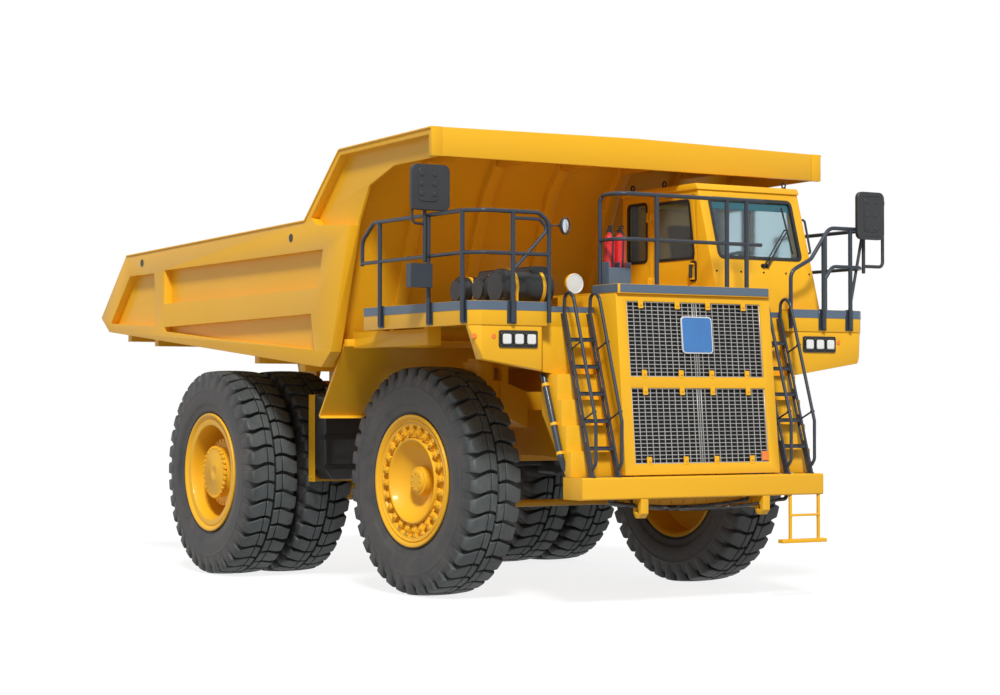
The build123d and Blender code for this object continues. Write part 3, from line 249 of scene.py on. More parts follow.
# %% Glass, wire, metal and plastics
def worn(name, colour, roughness, scale, share, metallic=0.0, coat=0.0, relief=0.05):
    """A finish whose clouds and fine scratches keep it from being one flat colour."""
    finish = Finish(name, colour, roughness, metallic, coat)
    cloud = finish.noise(scale, 5.0, 0.6)
    dull, bright = (tuple(min(1.0, c * (1.0 + s)) for c in colour) for s in (-share, share))
    finish.feed("Base Color", finish.mix(cloud, dull, bright))
    finish.feed("Roughness", (cloud * 0.24 + (roughness - 0.12)).clamp(0.02, 1.0))
    finish.bump(finish.noise(scale * 15.0, 3.0), relief, 0.001)
    return finish


glass = worn("cab_glass", (0.64, 0.76, 0.80), 0.14, 1.2, 0.08, relief=0.0)
glass.shader.inputs["Transmission Weight"].default_value = 0.94
glass.shader.inputs["IOR"].default_value = 1.2
shade = worn("shade_band", (0.012, 0.10, 0.13), 0.2, 2.0, 0.15, relief=0.0)
wire_metal = worn("grille_wire", (0.46, 0.45, 0.43), 0.42, 3.0, 0.25, metallic=0.3)
seat_cloth = worn("seat_cover", (0.03, 0.03, 0.032), 0.8, 6.0, 0.4, relief=0.3)
polished = worn("bright_rod", (0.72, 0.72, 0.72), 0.22, 5.0, 0.1, metallic=1.0)
moulded = worn("mirror_head", (0.020, 0.022, 0.025), 0.5, 7.0, 0.35, relief=0.25)
seal = worn("window_seal", (0.011, 0.011, 0.012), 0.55, 8.0, 0.4, relief=0.2)
core = worn("radiator_core", (0.005, 0.005, 0.0055), 0.85, 9.0, 0.5, relief=0.5)
lens = worn("lamp_lens", (0.78, 0.78, 0.76), 0.2, 25.0, 0.12, coat=0.6, relief=0.6)
amber = worn("amber_reflector", (0.85, 0.20, 0.01), 0.3, 20.0, 0.2, coat=0.6, relief=0.6)
plate_blue = worn("blue_plate", (0.035, 0.17, 0.45), 0.35, 4.0, 0.2, coat=0.4)
white_paint = worn("white_paint", (0.70, 0.69, 0.66), 0.45, 5.0, 0.15)
silver = worn("mirror_glass", (0.62, 0.66, 0.70), 0.14, 3.0, 0.1, metallic=1.0, relief=0.0)
print("materials so far:", len(bpy.data.materials))

# %% [markdown]
# Each CAD body names the kind of surface that it has. The dictionary maps that name to a finish, and
# every body takes its own.

# %% Dress the CAD bodies
slots = {
    "yellow_paint": yellow, "slate_paint": slate, "dark_steel": dark, "tyre_rubber": rubber,
    "grille_wire": wire_metal, "cab_glass": glass, "red_paint": red, "seat_cover": seat_cloth,
    "bright_rod": polished, "mirror_head": moulded,
}
slot_of = {entry["node"]: entry["material_slot"] for entry in frame["record"]["subparts"]}
for node, slot in slot_of.items():
    nodes[node].data.materials.clear()
    nodes[node].data.materials.append(slots[slot].material)
print("nodes with a finish:", len(slot_of))

# %% [markdown]
# Most fine pieces are boxes, rods and shapes turned on a lathe. Blender's bmesh holds a mesh while it
# is being built, so each helper adds one such shape to it, and several shapes become one piece.


# %% Small shapes in a mesh
def start():
    return bmesh.new()


def block(mesh, low, high):
    made = bmesh.ops.create_cube(mesh, size=1.0)["verts"]
    for vert in made:
        vert.co = Vector([(a + b) / 2 + (b - a) * c for a, b, c in zip(low, high, vert.co)])
    return made


def rod(mesh, a, b, radius, sides=20, end_radius=None):
    a, b = Vector(a), Vector(b)
    turn = (b - a).to_track_quat("Z", "Y").to_matrix().to_4x4()
    place = Matrix.Translation((a + b) / 2) @ turn
    return bmesh.ops.create_cone(
        mesh, cap_ends=True, segments=sides, radius1=radius,
        radius2=radius if end_radius is None else end_radius, depth=(b - a).length, matrix=place)["verts"]


def turned(mesh, profile, sides=72, closed=False):
    """Shape turned about Y from (y, radius) points; a radius of 0 closes it on the axis."""
    rings = []
    for y, radius in profile:
        if radius < 1e-6:
            rings.append([mesh.verts.new((0.0, y, 0.0))])
            continue
        steps = [2 * math.pi * k / sides for k in range(sides)]
        rings.append([mesh.verts.new((radius * math.cos(t), y, radius * math.sin(t))) for t in steps])
    pairs = list(zip(rings, rings[1:]))
    if closed:
        pairs.append((rings[-1], rings[0]))
    for one, two in pairs:
        for k in range(sides):
            n = (k + 1) % sides
            corners = [one[k % len(one)], one[n % len(one)], two[n % len(two)], two[k % len(two)]]
            mesh.faces.new(list(dict.fromkeys(corners)))


def turned_at(mesh, place, profile, sides, closed=False):
    """Turned shape that a matrix carries to its place among the other shapes of the mesh."""
    before = set(mesh.verts)
    turned(mesh, profile, sides, closed)
    bmesh.ops.transform(mesh, matrix=place, verts=[v for v in mesh.verts if v not in before])


def prism(mesh, points, y0, y1):
    """Plate with an outline in X and Z, between two values of Y."""
    near = [mesh.verts.new((x, y0, z)) for x, z in points]
    far = [mesh.verts.new((x, y1, z)) for x, z in points]
    mesh.faces.new(near)
    mesh.faces.new(far[::-1])
    for k in range(len(points)):
        n = (k + 1) % len(points)
        mesh.faces.new((near[k], far[k], far[n], near[n]))


# %% [markdown]
# No edge of a real plate is perfectly sharp, so sharp edges get a small chamfer. Round faces are then
# shaded smoothly, with hard edges where two faces meet at a steep angle. A piece becomes an object
# that rides on one body of the truck, which moves it when that body turns.


# %% From a mesh to a piece
def bevelled(mesh, width, angle=0.5):
    bmesh.ops.recalc_face_normals(mesh, faces=mesh.faces)
    sharp = [e for e in mesh.edges if e.is_manifold and e.calc_face_angle() > angle]
    bmesh.ops.bevel(mesh, geom=sharp, offset=width, segments=1, affect="EDGES", clamp_overlap=True)
    return mesh


def smoothed(mesh, below=38.0):
    """Smooth shading, with hard edges where faces meet at more degrees than this."""
    bmesh.ops.recalc_face_normals(mesh, faces=mesh.faces)
    for face in mesh.faces:
        face.smooth = True
    for edge in mesh.edges:
        edge.smooth = edge.is_manifold and edge.calc_face_angle() < math.radians(below)
    return mesh


def plain(mesh, name):
    """Plain mesh from a bmesh, which is freed."""
    data = bpy.data.meshes.new(name)
    mesh.to_mesh(data)
    mesh.free()
    return data


def placed(data, name, finish, body):
    data.materials.clear()
    data.materials.append(finish.material)
    piece = bpy.data.objects.new(name, data)
    bpy.context.scene.collection.objects.link(piece)
    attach(piece, body)
    return piece


def finished(mesh, name, finish, body, bevel=0.0):
    """Closes a mesh into a piece that rides on a body."""
    if bevel:
        bevelled(mesh, bevel, 0.6)
    return placed(plain(smoothed(mesh, 32.0), name), name, finish, body)


def joined(name, finish, body, meshes):
    """One piece from several plain meshes."""
    whole = start()
    for data in meshes:
        whole.from_mesh(data)
        bpy.data.meshes.remove(data)
    return placed(plain(whole, name), name, finish, body)


# %% [markdown]
# Bolts, lugs, clamps and wires repeat, and rails and hoses follow a path. Geometry Nodes trees with
# named sizes make both: one repeats a shape in a ring, one in rows, and one wraps a tube round a path
# with rounded bends. Each result is turned back into a plain mesh.


# %% Geometry Nodes trees with named sizes
class Recipe:
    """A Geometry Nodes tree. Its named inputs are sizes, and a run of it leaves a plain mesh."""
    KINDS = {int: "NodeSocketInt", float: "NodeSocketFloat", tuple: "NodeSocketVector"}

    def __init__(self, name, **inputs):
        self.tree = bpy.data.node_groups.new(name, "GeometryNodeTree")
        face = self.tree.interface
        face.new_socket("Geometry", in_out="INPUT", socket_type="NodeSocketGeometry")
        for key, value in inputs.items():
            socket = face.new_socket(key, in_out="INPUT", socket_type=self.KINDS[type(value)])
            socket.default_value = value
        face.new_socket("Finish", in_out="INPUT", socket_type="NodeSocketMaterial")
        face.new_socket("Geometry", in_out="OUTPUT", socket_type="NodeSocketGeometry")
        self.input = self.tree.nodes.new("NodeGroupInput").outputs
        self.end = self.tree.nodes.new("NodeGroupOutput").inputs

    def node(self, kind, values, settings=(), output=0):
        made = self.tree.nodes.new(kind)
        for key, setting in dict(settings).items():
            setattr(made, key, setting)
        for key, value in values.items():
            if isinstance(value, bpy.types.NodeSocket):
                self.tree.links.new(value, made.inputs[key])
            else:
                made.inputs[key].default_value = value
        return made.outputs[output]

    def maths(self, operation, a, b):
        return self.node("ShaderNodeMath", {0: a, 1: b}, {"operation": operation})

    def close(self, geometry):
        whole = self.node("GeometryNodeRealizeInstances", {"Geometry": geometry})
        dressed = self.node("GeometryNodeSetMaterial", {"Geometry": whole, "Material": self.input["Finish"]})
        self.tree.links.new(dressed, self.end["Geometry"])

    def run(self, mesh, name, finish, **sizes):
        """Plain mesh that the tree makes from a bmesh."""
        source = bpy.data.objects.new(name, plain(mesh, name))
        bpy.context.scene.collection.objects.link(source)
        step = source.modifiers.new(name, "NODES")
        step.node_group = self.tree
        sizes["Finish"] = finish.material
        for item in self.tree.interface.items_tree:
            if item.in_out == "INPUT" and item.name in sizes:
                step[item.identifier] = sizes[item.name]
        result = bpy.data.meshes.new_from_object(source.evaluated_get(bpy.context.evaluated_depsgraph_get()))
        source.modifiers.clear()
        bpy.data.objects.remove(source)
        return result


# %% A ring about Y, and rows and columns
ring = Recipe("ring_about_y", Count=12, Turn=0.0)
number = ring.node("GeometryNodeInputIndex", {})
pitch = ring.maths("DIVIDE", 2 * math.pi, ring.input["Count"])
angle = ring.maths("ADD", ring.maths("MULTIPLY", number, pitch), ring.input["Turn"])
spots = ring.node("GeometryNodePoints", {"Count": ring.input["Count"]})
turns = ring.node("ShaderNodeCombineXYZ", {"Y": angle})
ring.close(ring.node("GeometryNodeInstanceOnPoints", {
    "Points": spots, "Instance": ring.input["Geometry"], "Rotation": turns}))

grid = Recipe("rows_and_columns", Columns=2, Rows=1, Across=(0.0, 0.1, 0.0), Up=(0.0, 0.0, 0.1))
number = grid.node("GeometryNodeInputIndex", {})
row = grid.maths("FLOOR", grid.maths("DIVIDE", number, grid.input["Columns"]), 0.0)
column = grid.maths("MODULO", number, grid.input["Columns"])
across = grid.node("ShaderNodeVectorMath", {0: grid.input["Across"], "Scale": column}, {"operation": "SCALE"})
up = grid.node("ShaderNodeVectorMath", {0: grid.input["Up"], "Scale": row}, {"operation": "SCALE"})
spots = grid.node("GeometryNodePoints", {
    "Count": grid.maths("MULTIPLY", grid.input["Columns"], grid.input["Rows"]),
    "Position": grid.node("ShaderNodeVectorMath", {0: across, 1: up}, {"operation": "ADD"})})
grid.close(grid.node("GeometryNodeInstanceOnPoints", {"Points": spots, "Instance": grid.input["Geometry"]}))
print("recipes:", ring.tree.name, grid.tree.name)

# %% A tube along a path
tube = Recipe("bent_tube", Radius=0.02, Bend=0.08, Sides=12)
path = tube.node("GeometryNodeMeshToCurve", {"Mesh": tube.input["Geometry"]})
bend = {"Curve": path, "Count": 5, "Radius": tube.input["Bend"], "Limit Radius": True}
bent = tube.node("GeometryNodeFilletCurve", bend, {"mode": "POLY"})
profile = tube.node("GeometryNodeCurvePrimitiveCircle", {
    "Resolution": tube.input["Sides"], "Radius": tube.input["Radius"]})
wall = tube.node("GeometryNodeCurveToMesh", {"Curve": bent, "Profile Curve": profile, "Fill Caps": True})
tube.close(tube.node("GeometryNodeSetShadeSmooth", {"Geometry": wall, "Shade Smooth": True}))
print("recipe:", tube.tree.name)


def tubes(name, finish, paths, radius, bend, sides=12):
    """Plain mesh of bent tubes, one for each run of points."""
    mesh = start()
    for points in paths:
        verts = [mesh.verts.new(p) for p in points]
        for a, b in zip(verts, verts[1:]):
            mesh.edges.new((a, b))
    return tube.run(mesh, name, finish, Radius=radius, Bend=bend, Sides=sides)


# %% [markdown]
# Each tyre stands 2.48 m high. Its tread is two rows of deep lugs, with winding grooves that open at
# the shoulder, and every lug is split in two by a fine cut. The carcass is a turned profile, one lug
# is modelled with rounded edges, and the ring recipe copies it round the tyre, which is how a tyre
# mould is cut as well. A modelled lug catches the light, which a bump map could not do at the edge.


# %% The carcass and the crown of the tread
LUGS = 36
TREAD_TOP = 1.2362
CARCASS = [
    (0.262, 0.692), (0.267, 0.716), (0.276, 0.742), (0.284, 0.750), (0.290, 0.748), (0.302, 0.790),
    (0.311, 0.828), (0.315, 0.832), (0.318, 0.838), (0.325, 0.880), (0.3285, 0.930), (0.3290, 0.965),
    (0.3265, 1.000), (0.3285, 1.004), (0.3285, 1.012), (0.3255, 1.018), (0.320, 1.060), (0.311, 1.100),
    (0.296, 1.136), (0.266, 1.158), (0.200, 1.168), (0.0, 1.172)]


def tread_radius(y):
    """The tread is crowned: full height at its middle and a little lower at the shoulder."""
    return TREAD_TOP - 0.016 * (abs(y) / 0.3) ** 2.4


print("pitch of the lugs at the crown in metres:", round(2 * math.pi * TREAD_TOP / LUGS, 3))


# %% One tread lug
def lug_mesh(side):
    """Lug split by a cut: a long shoulder block that laps onto the sidewall, and a centre block."""
    mesh = start()
    pitch = 2 * math.pi / LUGS

    def wave(y):
        return 0.11 * math.sin(y / 0.3 * 5.2)

    def half_width(y):
        """The grooves widen towards the shoulder, so the lug narrows there."""
        return 0.455 - 0.012 * y / 0.1 - 0.10 * max(0.0, (y - 0.2) / 0.1) ** 1.6

    def station(y, radius, spread=1.0):
        middle = wave(y)
        half = half_width(y) * spread
        points = []
        for share in (middle - half, middle, middle + half):
            a = share * pitch
            points.append((radius * math.sin(a), side * y, radius * math.cos(a)))
        return points

    def loft(levels):
        """levels: list of (y, top radius, root radius)."""
        rows = []
        for y, top, root in levels:
            upper = [mesh.verts.new(p) for p in station(y, top, 0.93)]
            lower = [mesh.verts.new(p) for p in station(y, root)]
            rows.append(lower[:1] + upper + lower[2:])
        for one, two in zip(rows, rows[1:]):
            for a, b, c, d in zip(one, one[1:], two[1:], two):
                mesh.faces.new((a, b, c, d))
        mesh.faces.new(rows[0])
        mesh.faces.new(rows[-1][::-1])

    loft([(y, tread_radius(y), 1.15) for y in (0.014, 0.05, 0.088)])
    shoulder = [(y, tread_radius(y), 1.14) for y in (0.098, 0.14, 0.18, 0.22, 0.26, 0.286)]
    shoulder += [(0.305, 1.196, 1.10), (0.3185, 1.120, 1.05), (0.3255, 1.052, 1.03)]
    loft(shoulder)
    return mesh


# %% [markdown]
# A wheel piece is made about Y, facing +Y, at the origin. A matrix then carries it to the end of its
# axle. The front wheels stand turned about their kingpins as in the photograph, and the inner of two
# rear wheels faces the other way, with its dish to the middle of the truck.

# %% Where the wheels stand
FRONT_TYRE_Y, REAR_TYRE_Y, INNER_TYRE_Y = 1.773, 2.318, 1.598
KINGPIN_Y, REST_STEER = 1.18, math.radians(3.4)


def facing(side):
    return Matrix.Rotation(0.0 if side > 0 else math.pi, 4, "Z")


def front_place(side):
    kingpin = Matrix.Translation((FRONT_AXLE_X, side * KINGPIN_Y, 0.0)) @ Matrix.Rotation(REST_STEER, 4, "Z")
    return kingpin @ Matrix.Translation((0.0, side * (FRONT_TYRE_Y - KINGPIN_Y), AXLE_Z)) @ facing(side)


def rear_places(side):
    """The outer wheel's place and the inner one's."""
    return [Matrix.Translation((REAR_AXLE_X, side * y, AXLE_Z)) @ facing(way)
            for y, way in ((REAR_TYRE_Y, side), (INNER_TYRE_Y, -side))]


WHEELS = {
    "_front_right": [front_place(-1)], "_front_left": [front_place(1)],
    "s_rear_right": rear_places(-1), "s_rear_left": rear_places(1),
}


def wheel_piece(node, name, makers, finish):
    """One piece for a wheel body, from the shapes that each maker gives, carried to their places."""
    shapes = []
    for maker, place in zip(makers, WHEELS[node.replace("tyre", "").replace("rim", "")]):
        for data in maker():
            data.transform(place)
            shapes.append(data)
    piece = joined(name, finish, body_of(nodes[node])[0], shapes)
    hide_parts(node)
    print(piece.name, len(piece.data.polygons), "faces")


print("wheel bodies:", len(WHEELS))


# %% Tyres
def tyre_shapes():
    """Carcass and two rows of lugs, about the origin."""
    mesh = start()
    turned(mesh, [(-y, r) for y, r in CARCASS] + CARCASS[-2::-1], 108, closed=True)
    shapes = [plain(smoothed(mesh, 50.0), "carcass")]
    for side, turn in ((1, 0.0), (-1, 0.5)):
        lug = smoothed(bevelled(lug_mesh(side), 0.006))
        shapes.append(ring.run(lug, "lugs", rubber, Count=LUGS, Turn=turn * 2 * math.pi / LUGS))
    return shapes


for wheel in WHEELS:
    wheel_piece("tyre" + wheel, "treaded_tyre" + wheel, [tyre_shapes, tyre_shapes], rubber)

# %% [markdown]
# The front wheel is cast in one dish, and two dozen wedge clamps with nuts hold the rim onto it. The
# rear wheels are deep barrels, with the cover of the final drive's gears bolted in the middle. All of
# it is turned on a lathe in reality, so the profile is turned here too, and the ring recipe sets the
# clamps, nuts and the notched edge of the cover.

# %% Profiles of the rims
LIP = [(0.276, 0.658), (0.284, 0.664), (0.290, 0.676), (0.297, 0.682), (0.301, 0.690), (0.303, 0.700),
       (0.301, 0.709), (0.294, 0.7145), (0.282, 0.7155), (0.271, 0.711), (0.2635, 0.700), (0.2615, 0.6895)]
BARREL_BACK = [(-0.2615, 0.6895), (-0.2635, 0.700), (-0.271, 0.711), (-0.290, 0.7155), (-0.303, 0.704),
               (-0.299, 0.688), (-0.284, 0.668), (-0.270, 0.660)]
FRONT_RIM = [
    (0.2290, 0.0), (0.2290, 0.100), (0.2270, 0.112), (0.2210, 0.120), (0.2080, 0.124), (0.2050, 0.146),
    (0.1980, 0.152), (0.1020, 0.158), (0.0960, 0.170), (0.1000, 0.215), (0.1160, 0.270), (0.1500, 0.330),
    (0.1980, 0.384), (0.2500, 0.418), (0.2780, 0.430), (0.2870, 0.438), (0.2900, 0.449), (0.2860, 0.458),
    (0.2760, 0.463), (0.2350, 0.466), (0.2300, 0.585), (0.2580, 0.592), (0.2680, 0.602), (0.2690, 0.634),
    (0.2740, 0.641), (0.2860, 0.643), (0.2880, 0.650), (0.2800, 0.656)]
FRONT_BACK = [(0.030, 0.652), (0.050, 0.600), (0.070, 0.440), (0.040, 0.270), (-0.060, 0.250),
              (-0.060, 0.1215), (0.021, 0.1215), (0.021, 0.0)]
REAR_RIM = [
    (0.2300, 0.0), (0.2300, 0.050), (0.2340, 0.056), (0.2340, 0.110), (0.2300, 0.116), (0.2300, 0.276),
    (0.2260, 0.284), (0.2040, 0.288), (0.2000, 0.296), (0.1220, 0.306), (0.1160, 0.330), (0.1120, 0.362),
    (0.0860, 0.368), (0.0820, 0.330), (-0.130, 0.345), (-0.148, 0.365), (-0.152, 0.500), (-0.140, 0.532),
    (-0.100, 0.546), (0.000, 0.555), (0.190, 0.565), (0.262, 0.569), (0.272, 0.575), (0.277, 0.588),
    (0.278, 0.640), (0.271, 0.646), (0.271, 0.652)]
REAR_BACK = [(-0.180, 0.655), (-0.182, 0.600), (-0.182, 0.436), (-0.778, 0.430), (-0.778, 0.2275),
             (-0.198, 0.2275), (-0.198, 0.0)]
INNER_RIM = [(-0.060, 0.428), (-0.058, 0.520), (-0.040, 0.600), (0.100, 0.640), (0.262, 0.651)]
INNER_BACK = [(-0.095, 0.652), (-0.090, 0.428)]


def turned_rim(front, back, closed=False):
    """A rim from its front, the lip that holds the tyre, the barrel's back edge and its back."""
    mesh = start()
    turned(mesh, front + LIP + BARREL_BACK + back, 96, closed)
    return plain(smoothed(mesh, 34.0), "turned")


print("points of the front rim's profile:", len(FRONT_RIM + LIP + BARREL_BACK + FRONT_BACK))


# %% Clamps, bolts and teeth, each at the top of its ring
def clamp_shape():
    """Wedge clamp with its stud and nut."""
    mesh = start()
    block(mesh, (-0.038, 0.200, 0.468), (0.038, 0.262, 0.500))
    block(mesh, (-0.034, 0.215, 0.498), (0.034, 0.284, 0.560))
    block(mesh, (-0.028, 0.230, 0.555), (0.028, 0.276, 0.604))
    bevelled(mesh, 0.007)
    rod(mesh, (0, 0.262, 0.530), (0, 0.300, 0.530), 0.019, 6)
    rod(mesh, (0, 0.290, 0.530), (0, 0.303, 0.530), 0.010, 8)
    return smoothed(mesh, 40.0)


def bolt_shape(radius, y0, y1, at):
    """Six-sided bolt head that stands along Y, at a distance from the axis."""
    mesh = start()
    rod(mesh, (0, y0, at), (0, (y0 + y1) / 2, at), radius * 1.35, 14)
    rod(mesh, (0, y0, at), (0, y1, at), radius, 6)
    return smoothed(mesh, 30.0)


def tooth_shape(inner, outer, y0, y1, half_width):
    mesh = start()
    block(mesh, (-half_width, y0, inner), (half_width, y1, outer))
    return smoothed(bevelled(mesh, 0.004), 40.0)


def ringed(mesh, name, count, turn=0.0):
    return ring.run(mesh, name, yellow, Count=count, Turn=turn)


# %% Rims
def front_rim_shapes():
    return [
        turned_rim(FRONT_RIM, FRONT_BACK),
        ringed(clamp_shape(), "clamps", 24, 0.06),
        ringed(bolt_shape(0.011, 0.226, 0.238, 0.086), "bolts", 8),
    ]


def rear_rim_shapes():
    return [
        turned_rim(REAR_RIM, REAR_BACK),
        ringed(tooth_shape(0.270, 0.318, 0.203, 0.2285, 0.0265), "teeth", 28),
        ringed(bolt_shape(0.010, 0.226, 0.2395, 0.296), "bolts", 28),
        ringed(tooth_shape(0.355, 0.405, 0.086, 0.113, 0.0330), "flange", 28),
    ]


def inner_rim_shapes():
    return [turned_rim(INNER_RIM, INNER_BACK, closed=True)]


for wheel in WHEELS:
    makers = [front_rim_shapes] if "front" in wheel else [rear_rim_shapes, inner_rim_shapes]
    wheel_piece("rim" + wheel, "dished_rim" + wheel, makers, yellow)

# %% [markdown]
# Guard rails are steel tube, bent at each corner, on posts that bolt to plates over the deck's edge.
# CAD has them as mitred runs of eight sides. The tube recipe rounds the same runs, because on the
# real truck every corner is a bend, and a straight mitre would look like cut pipe.

# %% Runs of the deck rails, each a radius, a bend and its paths
TUBE, POST, MID_TUBE, BRACE = 0.022, 0.024, 0.020, 0.018
SIDE_Y, FRONT_X, RAIL_Z, MID_Z, FOOT_Z = 2.5743, 4.6643, 3.990, 3.570, 2.883
CORNER_X, CORNER_Y, REAR_X, LOOP_Y, POST_TOP = 4.5043, 2.4143, 2.395, 1.662, 3.985


def upright(x, y, top=POST_TOP):
    return [(x, y, FOOT_Z), (x, y, top)]


RAIL_RUNS = {
    "railing_right": [
        (TUBE, 0.13, [[
            (REAR_X, -SIDE_Y, 3.54), (REAR_X, -SIDE_Y, 3.81), (2.655, -SIDE_Y, RAIL_Z),
            (CORNER_X, -SIDE_Y, RAIL_Z), (FRONT_X, -CORNER_Y, RAIL_Z), (FRONT_X, -1.782, RAIL_Z),
            (FRONT_X, -LOOP_Y, 3.90), (FRONT_X, -LOOP_Y, FOOT_Z)]]),
        (POST, 0.02, [upright(x, -SIDE_Y) for x in (2.785, 3.811, 4.486)] + [upright(FRONT_X, -2.092)]),
        (MID_TUBE, 0.10, [[
            (REAR_X, -SIDE_Y, MID_Z), (CORNER_X, -SIDE_Y, MID_Z), (FRONT_X, -CORNER_Y, MID_Z),
            (FRONT_X, -1.664, MID_Z)]]),
        (BRACE, 0.06, [[
            (FRONT_X, -2.090, 3.924), (FRONT_X, -1.770, 3.924), (FRONT_X, -1.700, 3.85),
            (FRONT_X, -1.700, 3.80), (FRONT_X, -2.090, 3.40)]])],
    "railing_left": [
        (TUBE, 0.13, [[
            (FRONT_X, 1.452, FOOT_Z), (FRONT_X, 1.452, 3.50), (FRONT_X, 1.732, 3.64),
            (FRONT_X, 1.992, RAIL_Z), (FRONT_X, CORNER_Y, RAIL_Z), (CORNER_X, SIDE_Y, RAIL_Z),
            (3.000, SIDE_Y, RAIL_Z)]]),
        (POST, 0.02, [
            upright(FRONT_X, 1.910, 3.875), upright(FRONT_X, 2.290),
            upright(3.900, SIDE_Y), upright(3.020, SIDE_Y)]),
        (MID_TUBE, 0.10, [[
            (FRONT_X, 1.912, 3.40), (FRONT_X, 2.032, MID_Z), (FRONT_X, CORNER_Y, MID_Z),
            (CORNER_X, SIDE_Y, MID_Z), (3.022, SIDE_Y, MID_Z)]])],
}
print("deck rails:", list(RAIL_RUNS))

# %% Runs of the walkway's rails, measured from the CAD rails
WALK_FOOT, WALK_MID, WALK_BEND = 3.2105, 3.75, 0.09
lo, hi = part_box("railing_centre")
START_X, WALK_Y, WALK_X, WALK_END, WALK_TOP = lo.x + TUBE, lo.y + TUBE, hi.x - POST, hi.y, hi.z - TUBE
RAIL_RUNS["railing_centre"] = [
    (TUBE, 0.11, [[
        (START_X, WALK_Y, WALK_FOOT), (START_X, WALK_Y, WALK_TOP - 0.05), (START_X + 0.06, WALK_Y, WALK_TOP),
        (WALK_X - WALK_BEND, WALK_Y, WALK_TOP), (WALK_X, WALK_Y + WALK_BEND, WALK_TOP),
        (WALK_X, WALK_END, WALK_TOP)]]),
    (POST, 0.02, [[(WALK_X, y, WALK_FOOT), (WALK_X, y, WALK_TOP - 0.005)] for y in (-0.466, 0.440, 0.700)]),
    (MID_TUBE, 0.08, [[
        (START_X + 0.002, WALK_Y, WALK_MID), (WALK_X - WALK_BEND, WALK_Y, WALK_MID),
        (WALK_X, WALK_Y + WALK_BEND, WALK_MID), (WALK_X, WALK_END - TUBE, WALK_MID)]])]
print("centre rails:", tuple(lo), tuple(hi))

# %% Rails with the plates that their posts bolt to
PLATE_HALF, PLATE_THICK, PLATE_BACK = 0.055, 0.006, 0.0205
PLATE_LOW, PLATE_HIGH = 2.868, 3.10


def post_plate(mesh, x, y):
    """Plate behind a post's foot, along the deck's side or across its front."""
    if abs(y) == SIDE_Y:
        y -= math.copysign(PLATE_BACK, y)
        half_x, half_y = PLATE_HALF, PLATE_THICK
    else:
        x = FRONT_X - PLATE_BACK
        half_x, half_y = PLATE_THICK, PLATE_HALF
    block(mesh, (x - half_x, y - half_y, PLATE_LOW), (x + half_x, y + half_y, PLATE_HIGH))


for node, groups in RAIL_RUNS.items():
    shapes = [tubes(node, rail_paint, paths, radius, bend, 14) for radius, bend, paths in groups]
    plates = start()
    for radius, bend, paths in groups:
        if radius == POST and node != "railing_centre":
            for points in paths:
                post_plate(plates, *points[0][:2])
    if node == "railing_right":
        # Stem of the round mirror, and the box on the outer rail
        rod(plates, (FRONT_X, -LOOP_Y, 3.867), (FRONT_X, -1.467, 3.867), 0.009, 12)
        block(plates, (3.820, -2.840, 3.245), (3.920, -2.5853, 3.489))
    shapes.append(plain(smoothed(bevelled(plates, 0.004)), node))
    piece = joined("tube_" + node, rail_paint, "chassis", shapes)
    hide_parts(node)
    print(piece.name, len(piece.data.polygons), "faces")

# %% [markdown]
# A toe board is a strip of plate that stands on a deck's edge and keeps boots and tools from sliding
# off. CAD has it in the deck's own body, so only a thin slate skin is laid on its outside, because
# the photograph shows it in the rails' colour and the plate below it in yellow.


# %% Toe boards of the decks
def mirrored(mesh, side, low, high):
    """Block of a side of the truck, from sizes that count Y outwards from the middle."""
    block(mesh, (low[0], min(side * low[1], side * high[1]), low[2]),
          (high[0], max(side * low[1], side * high[1]), high[2]))


SKIN, SKIN_LOW, SKIN_HIGH = 0.0035, 3.002, 3.092
BEND_X, BEND_Y, EDGE_X, EDGE_Y = 4.532, 2.442, 4.6400, 2.5500
boards = start()
for side, bay in ((-1, 1.640), (1, 1.430)):
    mirrored(boards, side, (2.387, EDGE_Y, SKIN_LOW), (BEND_X, EDGE_Y + SKIN, SKIN_HIGH))
    mirrored(boards, side, (EDGE_X, bay + 0.001, SKIN_LOW), (EDGE_X + SKIN, BEND_Y, SKIN_HIGH))
    mirrored(boards, side, (4.4885, 1.000, SKIN_LOW), (4.4935, bay, 3.060))
    near, far = Vector((BEND_X, side * 2.5517)), Vector((4.6417, side * BEND_Y))
    along = (far - near).normalized()
    out = Vector((-along.y, along.x)) * -side * 0.0017
    corners = [near - out, far - out, far + out, near + out]
    low_ring = [boards.verts.new((p.x, p.y, SKIN_LOW)) for p in corners]
    high_ring = [boards.verts.new((p.x, p.y, SKIN_HIGH)) for p in corners]
    boards.faces.new(low_ring)
    boards.faces.new(high_ring[::-1])
    for k in range(4):
        n = (k + 1) % 4
        boards.faces.new((low_ring[k], high_ring[k], high_ring[n], low_ring[n]))
print("toe boards of the decks:", len(boards.faces), "faces")

# %% Kick board of the middle walkway
KICK_LOW, KICK_HIGH = 3.202, 3.287
lo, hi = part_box("deck_centre")
block(boards, (hi.x - 0.0005, -0.955, KICK_LOW), (hi.x + 0.004, 0.955, KICK_HIGH))
block(boards, (hi.x - 0.46, lo.y - SKIN, KICK_LOW), (hi.x - 0.001, lo.y + 0.001, KICK_HIGH))
finished(boards, "toe_boards", slate, "chassis", bevel=0.001)
print("centre deck:", tuple(lo), tuple(hi))

# %% [markdown]
# The nose is an open box with two grilles of welded wire, each in a frame that clips hold to the hood.
# Behind them the radiator shows only as darkness. One upright wire and one level wire are modelled,
# and the rows recipe repeats them along the sloping nose, as a wire welder lays them.


# %% A slab that follows the nose
NOSE_FOOT_X, NOSE_FOOT_Z, NOSE_LEAN = 5.046, 1.345, 0.178 / 1.845


def nose_x(z):
    return NOSE_FOOT_X - NOSE_LEAN * (z - NOSE_FOOT_Z)


